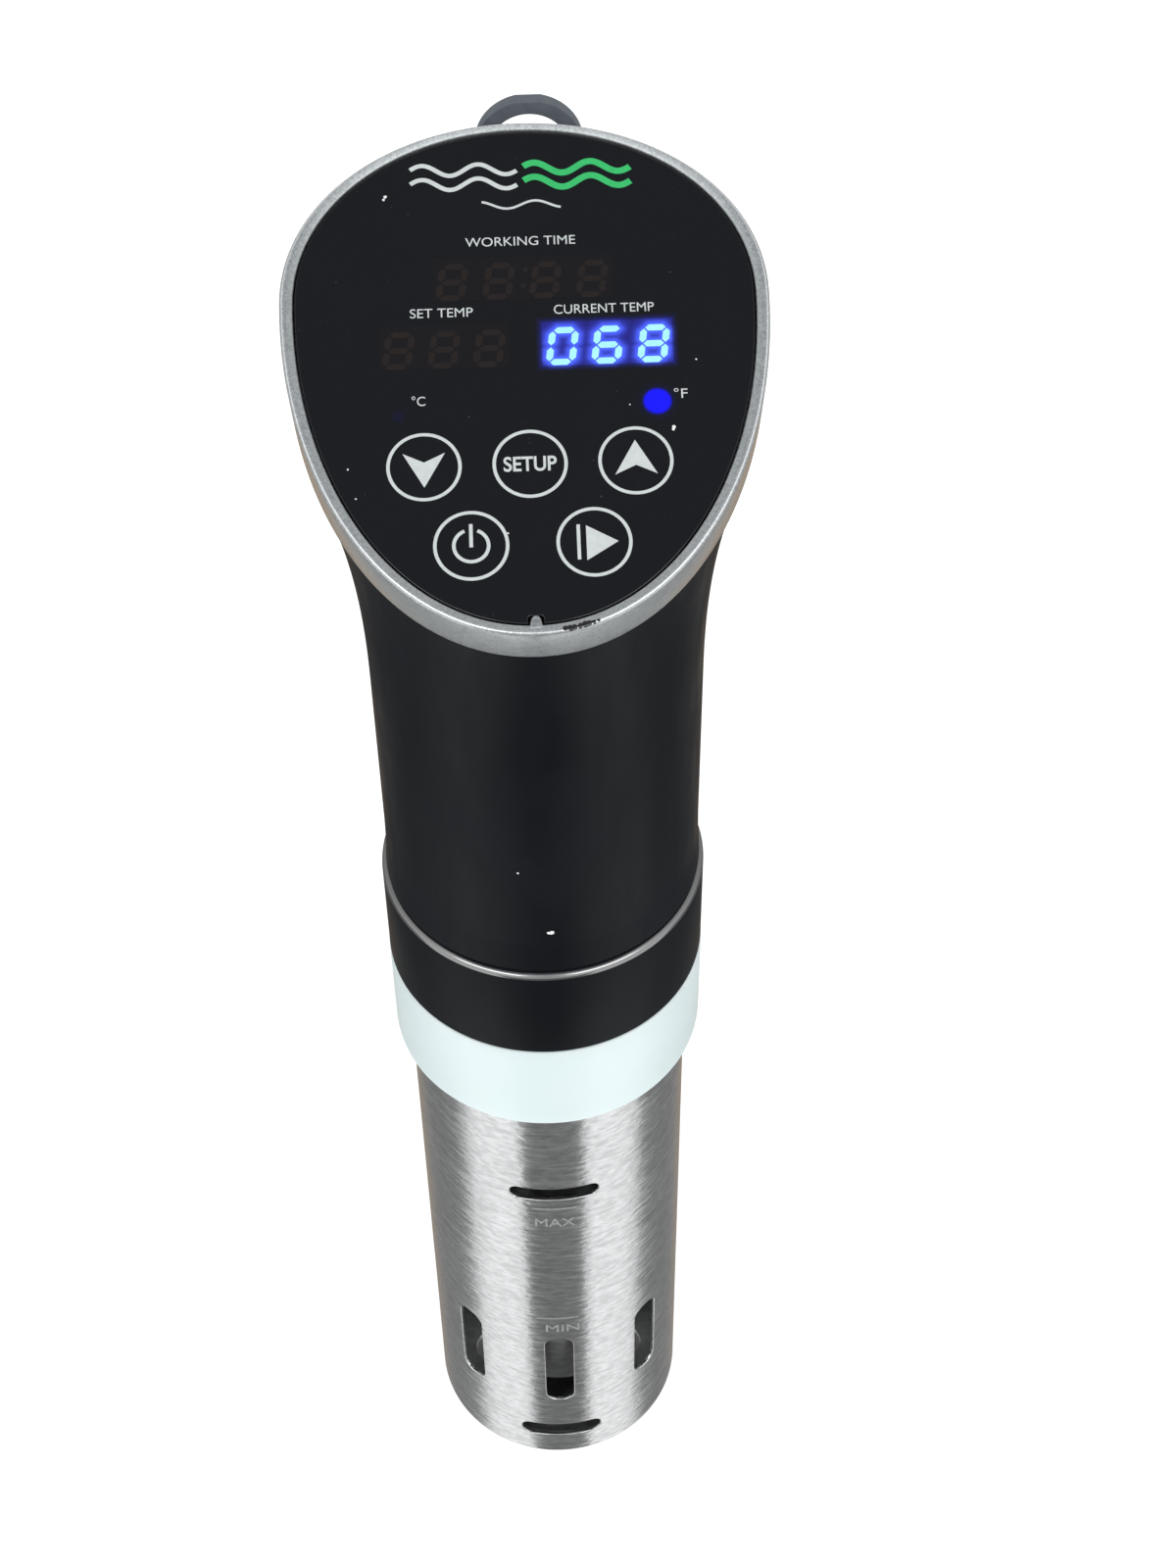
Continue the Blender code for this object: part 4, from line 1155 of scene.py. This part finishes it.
def make_clip(plastic, rubber, metal):
    collar_r = high("collar").x + GAP
    saddle = block("clip_saddle", plastic, (18, 7.5, 22), shift(0, 32.9, CLIP_Z))
    carve(saddle, [cutter(circle(collar_r, 192), 170, 210)])
    ears = []
    for side in (-1, 1):
        start, end = sorted((side * 6.3, side * 9.0))
        ears.append(slab("ear", plastic, rectangle(10.6, 12, 4.4, (41.0, CLIP_Z), 12), start, end, "X"))
    carve(saddle, ears, "UNION")
    pivot = shift(0, CLIP_Y, CLIP_Z)
    holes = [cutter(circle(1.5, 32, (0, z)), 26, 42, "Y") for z in CLIP_SCREWS.values()]
    carve(saddle, [cutter(circle(PIN_BORE_R, 48), -20, 20, "X", pivot)] + holes)
    round_edges(saddle, 0.4, 3, 35)
    finished(saddle, "body", "plastic_black", "clip_bracket")
    for node, z in CLIP_SCREWS.items():
        make_screw(node, (0, 36.65 + GAP, z))

    pin_profile = fillet([(0, -9.6), (1.5, -9.6), (1.5, 9.6), (0, 9.6)], [0, 0.5, 0.5, 0], 4, closed=False)
    pin = lathe("cross_pin", metal, pin_profile, 48, pivot @ spun(90, "Y"))
    finished(pin, "body", "machined_steel", "clip_pin")

    outside = [(11, 39), (8.5, 23), (6.2, 8), (5.8, 0), (5.6, -10), (5.8, -29), (4.6, -49), (0, -65)]
    jaw = [(-4, -70.5), (-7, -72), (-8, -72), (-8, -62), (-3.5, -61)]
    inside = [(1.2, -47.5), (2.4, -29), (1.4, -10), (1, 0), (2, 8), (5.4, 23.6), (8, 39)]
    radii = [0.8, 8, 8, 6, 6, 10, 12, 8] + [3, 0.2, 0.2, 0.6, 3] + [8, 12, 8, 1, 4, 10, 0.8]
    half = CLIP_WIDTH / 2
    lever = slab("lever", plastic, fillet(outside + jaw + inside, radii), -half, half, "X", pivot)
    thumb_place = pivot @ shift(0, 8.6, 30.5) @ spun(-9, "X")
    thumb = slab("thumb", plastic, rectangle(18, 15, 3.0), -1.7, 1.7, "Z", thumb_place @ spun(90, "X"))
    barrel = slab("barrel", plastic, circle(4.0, 64), -half, half, "X", pivot)
    carve(lever, [barrel, thumb], "UNION")
    tools = [cutter(circle(PIN_BORE_R, 48), -20, 20, "X", pivot)]
    tools.append(block("spring_room", plastic, (6.8, 9.2, 9.4), pivot @ shift(0, -1.5, 0)))
    places = [thumb_place @ shift(0, 2.1, -4.4 + 2.2 * k) for k in range(5)]
    carve(lever, tools + [cutter(circle(0.7, 24), -7, 7, "X", place) for place in places])
    round_edges(lever, 0.45, 3, 35)
    finished(lever, "clip", "plastic_black", "clip_lever")

    pad_place = pivot @ shift(0, -8 - GAP - PAD_HALF, -67)
    flat = rectangle(CLIP_WIDTH - 0.4, 9.4, 1.2)
    pad = slab("pad", rubber, flat, -PAD_HALF, PAD_HALF, "Z", pad_place @ spun(90, "X"))
    places = [pad_place @ shift(0, -1.5, -3.0 + 2.0 * k) for k in range(4)]
    carve(pad, [cutter(circle(0.45, 16), -7, 7, "X", place) for place in places])
    round_edges(pad, 0.3, 3, 35)
    finished(pad, "clip", "rubber_black", "clip_pad")

    coil = []
    for k in range(161):
        turn = tau * k / 40
        coil.append((-2.4 + 4.8 * k / 160, 2.3 * sin(turn), 2.3 * cos(turn)))
    coil = [(-2.9, coil[0][1], coil[0][2])] + coil + [(2.9, coil[-1][1], coil[-1][2])]
    finished(bar("coil_spring", metal, coil, 0.4, pivot), "body", "machined_steel", "clip_spring")


def bar(name, material, points, radius, matrix):
    """A round wire bent along points."""
    curve = bpy.data.curves.new(name, "CURVE")
    curve.dimensions = "3D"
    curve.bevel_depth = radius
    curve.bevel_resolution = 4
    curve.use_fill_caps = True
    traced(curve, points, False)
    return made_from(outlined(curve), name, material, matrix)


# ---- the pieces carried over


def board_look():
    """Solder mask over copper tracks."""
    finish = Finish("circuit_board", (0.01, 0.09, 0.04), 0.35, Coat_Weight=0.4)
    tracks = finish.cells(420.0, "Distance")
    finish.set("Base Color", finish.tinted(tracks, (0.02, 0.16, 0.07), (0.008, 0.07, 0.03), 0.25, 0.3))
    finish.bump(tracks, 0.2, 0.00005)
    return finish.material


def winding_look():
    """Enamelled copper wire wound in close turns."""
    finish = Finish("copper_winding", (0.62, 0.27, 0.13), 0.3, 1.0)
    turns = finish.node("ShaderNodeTexWave", Vector=finish.place, Scale=420.0, Distortion=0.6).outputs["Fac"]
    finish.set("Base Color", finish.mixed(turns, (0.42, 0.16, 0.07), (0.72, 0.34, 0.17)))
    finish.bump(turns, 0.6, 0.0003)
    return finish.material


METAL_NODES = """drive_shaft motor_can motor_rotor heater_base heater_coil shaft_tube temp_probe level_probe
    board_screw_lower board_screw_upper display_screw_left display_screw_right"""
DARK_NODES = """chassis cooling_fan impeller motor_cap heater_relay buzzer
    time_display set_temp_display current_temp_display"""
BRASS_NODES = """lower_bearing upper_bearing shaft_bush touch_spring_down touch_spring_power
    touch_spring_setup touch_spring_start touch_spring_up"""


def paint_internals():
    """Gives CAD nodes whose shape stays a finish of their own."""
    looks = (
        (simple("turned_metal", (0.60, 0.60, 0.61), 0.26, 1.0, 500.0, 0.1, 0.15), METAL_NODES),
        (simple("moulded_black", (0.018, 0.018, 0.019), 0.55, 0.0, 700.0, 0.25, 0.3), DARK_NODES),
        (simple("seal_rubber", (0.022, 0.022, 0.022), 0.8, 0.0, 900.0, 0.3, 0.4),
         "panel_gasket skirt_seal shaft_seal"),
        (simple("sintered_brass", (0.66, 0.46, 0.19), 0.32, 1.0, 900.0, 0.12, 0.3), BRASS_NODES),
        (simple("can_grey", (0.10, 0.11, 0.12), 0.4, 0.0, 300.0, 0.1, 0.1), "filter_capacitor"),
        (simple("blue_lens", (0.02, 0.06, 0.75), 0.18, 0.0, 500.0, 0.1, 0.05), "led_celsius led_fahrenheit"),
        (board_look(), "display_board light_board power_board"),
        (winding_look(), "motor_stator transformer"),
    )
    for look, names in looks:
        for name in names.split():
            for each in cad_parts[name].material_slots:
                each.material = look


# ---- light


FLOOR_REACH, FLOOR_DROP = 30.0, -0.0002  # in metres


def make_floor():
    bm = bmesh.new()
    corners = [(a * FLOOR_REACH, b * FLOOR_REACH, 0) for a, b in ((-1, -1), (1, -1), (1, 1), (-1, 1))]
    bm.faces.new([bm.verts.new(corner) for corner in corners])
    finish = Finish("floor", (0.93, 0.93, 0.93), 0.8, Emission_Color=(1.0, 1.0, 1.0, 1.0))
    # Painted shade: the floor's glow is taken away beneath the tube, so the floor there reads dark through
    # the slots as if the tube shaded it
    painted_shade_under_tube = finish.near((0.0, 0.0, 0.0), TUBE_R - 0.5)
    finish.set("Emission Strength", finish.ranged(painted_shade_under_tube, 0.35, 0.0, 0.0, 1.0))
    finish.set("Base Color", finish.tinted(finish.noise(3.0, 2), (0.92, 0.92, 0.92), (0.94, 0.94, 0.94)))
    floor = placed("floor", meshed(bm, "floor", finish.material))
    floor.location.z = FLOOR_DROP
    floor.visible_glossy = False


SOFT_BOX_RISE, SOFT_BOX_REACH, SOFT_BOX_POWER = 42, 1.3, 3.6
SOFT_BOX_SIZE, AIM = (0.8, 0.3), (0, 0, 0.17)  # in metres


def soft_box(name, azimuth):
    """A soft box that looks at the middle of the circulator. Azimuth 0 is in front of the panel."""
    turn, rise = radians(azimuth), radians(SOFT_BOX_RISE)
    light = bpy.data.lights.new(name, "AREA")
    light.shape = "RECTANGLE"
    light.size, light.size_y = SOFT_BOX_SIZE
    light.energy = SOFT_BOX_POWER
    lamp = placed(name, light)
    away = Vector((sin(turn) * cos(rise), -cos(turn) * cos(rise), sin(rise)))
    lamp.location = Vector(AIM) + away * SOFT_BOX_REACH
    lamp.rotation_euler = away.to_track_quat("Z", "Y").to_euler()


BANDS = (  # azimuth from the front, either side, and how bright the studio is there below the horizon
    (0.0, 0.24), (26.5, 0.24), (28.5, 1.3), (78.0, 1.25),
    (82.0, 0.28), (128.0, 0.25), (150.0, 0.36), (180.0, 0.42),
)
SIDES = ((0.0, 0.8), (20.0, 1.25), (70.0, 1.15), (120.0, 0.6), (180.0, 0.6))  # the same above the horizon
HEIGHTS = ((-90.0, 0.0), (-14.0, 0.0), (0.0, 1.0), (90.0, 1.0))  # elevation, share of SIDES
CEILING = ((-90.0, 0.0), (63.0, 0.0), (73.0, 1.0), (90.0, 1.0))  # elevation, share of the dark ceiling
WARM_SIDES = ((0.0, 0.0), (140.0, 0.0), (158.0, 1.0), (180.0, 1.0))  # where a warm wall stands behind
WARM_HEIGHTS = ((-90.0, 0.0), (-70.0, 0.0), (-58.0, 1.0), (-35.0, 1.0), (-25.0, 0.0), (90.0, 0.0))


def make_world():
    """A studio of pale panels for reflections, and an even pale sky for everything else."""
    world = bpy.data.worlds.new("studio")
    bpy.context.scene.world = world
    world.use_nodes = True
    world.node_tree.nodes.clear()
    sky = Nodes(world.node_tree)

    def graph(source, points):
        """A brightness read off a line through the points, for a source from 0 to 1."""
        ramp = sky.node("ShaderNodeValToRGB", Fac=source)
        elements = ramp.color_ramp.elements
        while len(elements) < len(points):
            elements.new(0.5)
        for element, (place, value) in zip(elements, points):
            element.position = (place - points[0][0]) / 180
            element.color = (value, value, value, 1)
        return ramp.outputs["Color"]

    direction = sky.node("ShaderNodeTexCoord").outputs["Generated"]
    x, y, z = sky.node("ShaderNodeSeparateXYZ", Vector=direction).outputs
    azimuth = sky.maths("ABSOLUTE", sky.maths("ARCTAN2", x, sky.maths("MULTIPLY", y, -1.0)))
    azimuth = sky.maths("DIVIDE", azimuth, pi)
    elevation = sky.maths("ADD", sky.maths("DIVIDE", sky.maths("ARCSINE", z), pi), 0.5)
    bands, sides, warm_sides = (graph(azimuth, points) for points in (BANDS, SIDES, WARM_SIDES))
    upper, ceiling, warm = (graph(elevation, points) for points in (HEIGHTS, CEILING, WARM_HEIGHTS))
    studio = sky.mixed(upper, bands, sides)
    studio = sky.mixed(ceiling, studio, (0.16, 0.17, 0.20))
    studio = sky.mixed(sky.maths("MULTIPLY", warm_sides, warm), studio, (0.42, 0.32, 0.22))
    glossy = sky.node("ShaderNodeLightPath").outputs["Is Glossy Ray"]
    seen = sky.mixed(glossy, (0.8, 0.8, 0.8), studio)
    background = sky.node("ShaderNodeBackground", Color=seen, Strength=1.0)
    sky.node("ShaderNodeOutputWorld", Surface=background.outputs[0])


def make_light():
    make_world()
    soft_box("soft_left", -38)
    soft_box("soft_right", 38)
    bpy.context.scene.view_settings.view_transform = "Standard"


# ---- assembly


make_camera()
LOOKS = {
    "steel": brushed_steel(),
    "cap": brushed_steel("cap_steel", (0.52, 0.53, 0.535), 0.34),
    "milk": milk_plastic(),
    "casing": black_plastic(
        "casing_black", (0.0034, 0.0044, 0.0062), 0.42, grain=0.05, shine=0.07, specks=GRIP_SPECKS
    ),
    "collar": black_plastic("collar_black", (0.0030, 0.0042, 0.0058), 0.4, 0.06, shine=0.06),
    # Painted highlight: a lighter, glossier copy of the collar's plastic for its upper edge, which is the
    # same plastic as the rest of the collar
    "collar_edge_highlight": black_plastic("collar_edge_highlight", (0.012, 0.013, 0.016), 0.16, 0.04, shine=1.0, ior=2.1),
    "clip": black_plastic("clip_black", (0.009, 0.009, 0.010), 0.48, grain=0.25),
    "silver": silver_paint("silver_paint", ((0.33, 0.35, 0.36), (0.50, 0.535, 0.545)), 0.36),
    # A lighter copy of the same silver paint for the bezel's crest: painted highlight, since the crest is the
    # same paint as the rest of the bezel
    "crest": silver_paint("silver_crest_painted_highlight", ((0.70, 0.73, 0.74), (0.88, 0.90, 0.90)), 0.2),
    "glass": black_glass(),
    "loop": simple("loop_grey", (0.105, 0.122, 0.14), 0.55, 0.0, 500.0, 0.12, 0.3, Specular_IOR_Level=0.3),
    "rubber": simple("soft_rubber", (0.02, 0.02, 0.021), 0.75, 0.0, 900.0, 0.25, 0.4),
    "screw": simple("screw_steel", (0.58, 0.58, 0.59), 0.25, 1.0, 900.0, 0.12, 0.2),
    "ink": print_ink("white_print", (0.60, 0.64, 0.64)),
    "green": print_ink("green_print", (0.045, 0.50, 0.15)),
    "dim": print_ink("unlit_bars", (0.018, 0.0135, 0.0125)),
    "pane": print_ink("unlit_window", (0.0085, 0.0078, 0.0088)),
    "bright": print_ink("lit_bars", (0.42, 0.90, 1.0), 1.1),
    "glow": glow_material("lit_glow", 1.0),
    "etch": simple("etched_mark", (0.36, 0.37, 0.37), 0.6, 0.6, 900.0, 0.2, 0.2),
}
paint_internals()
make_skirt(LOOKS["steel"], LOOKS["cap"])
make_flow_sleeve(LOOKS["cap"])

make_ring(LOOKS["milk"])
make_collar(LOOKS["collar"], LOOKS["collar_edge_highlight"])
etched("max_word", lettered("MAX", 9.0, 3.2, (0, 0), ETCH_THICK), 107.6)
etched("min_word", lettered("MIN", 8.0, 3.0, (1.0, 0), ETCH_THICK), 61.0)
for height, name in ((113.2, "max_line"), (65.6, "min_line")):
    strokes = [[(k, -0.2), (k + 1, -0.2), (k + 1, 0.2), (k, 0.2)] for k in (j - 5.2 for j in range(10))]
    etched(name, strip(strokes), height)

make_bezel(LOOKS["silver"], LOOKS["crest"])
make_glass(LOOKS["glass"])
make_keys(LOOKS["ink"])
make_labels(LOOKS["ink"], LOOKS["green"])
make_displays(LOOKS["pane"], LOOKS["dim"], LOOKS["glow"], LOOKS["bright"])
make_lamps(LOOKS["glow"])
make_casing(LOOKS["casing"])
make_gland(LOOKS["rubber"])
make_loop(LOOKS["loop"])
make_clip(LOOKS["clip"], LOOKS["rubber"], LOOKS["screw"])
make_floor()
make_light()
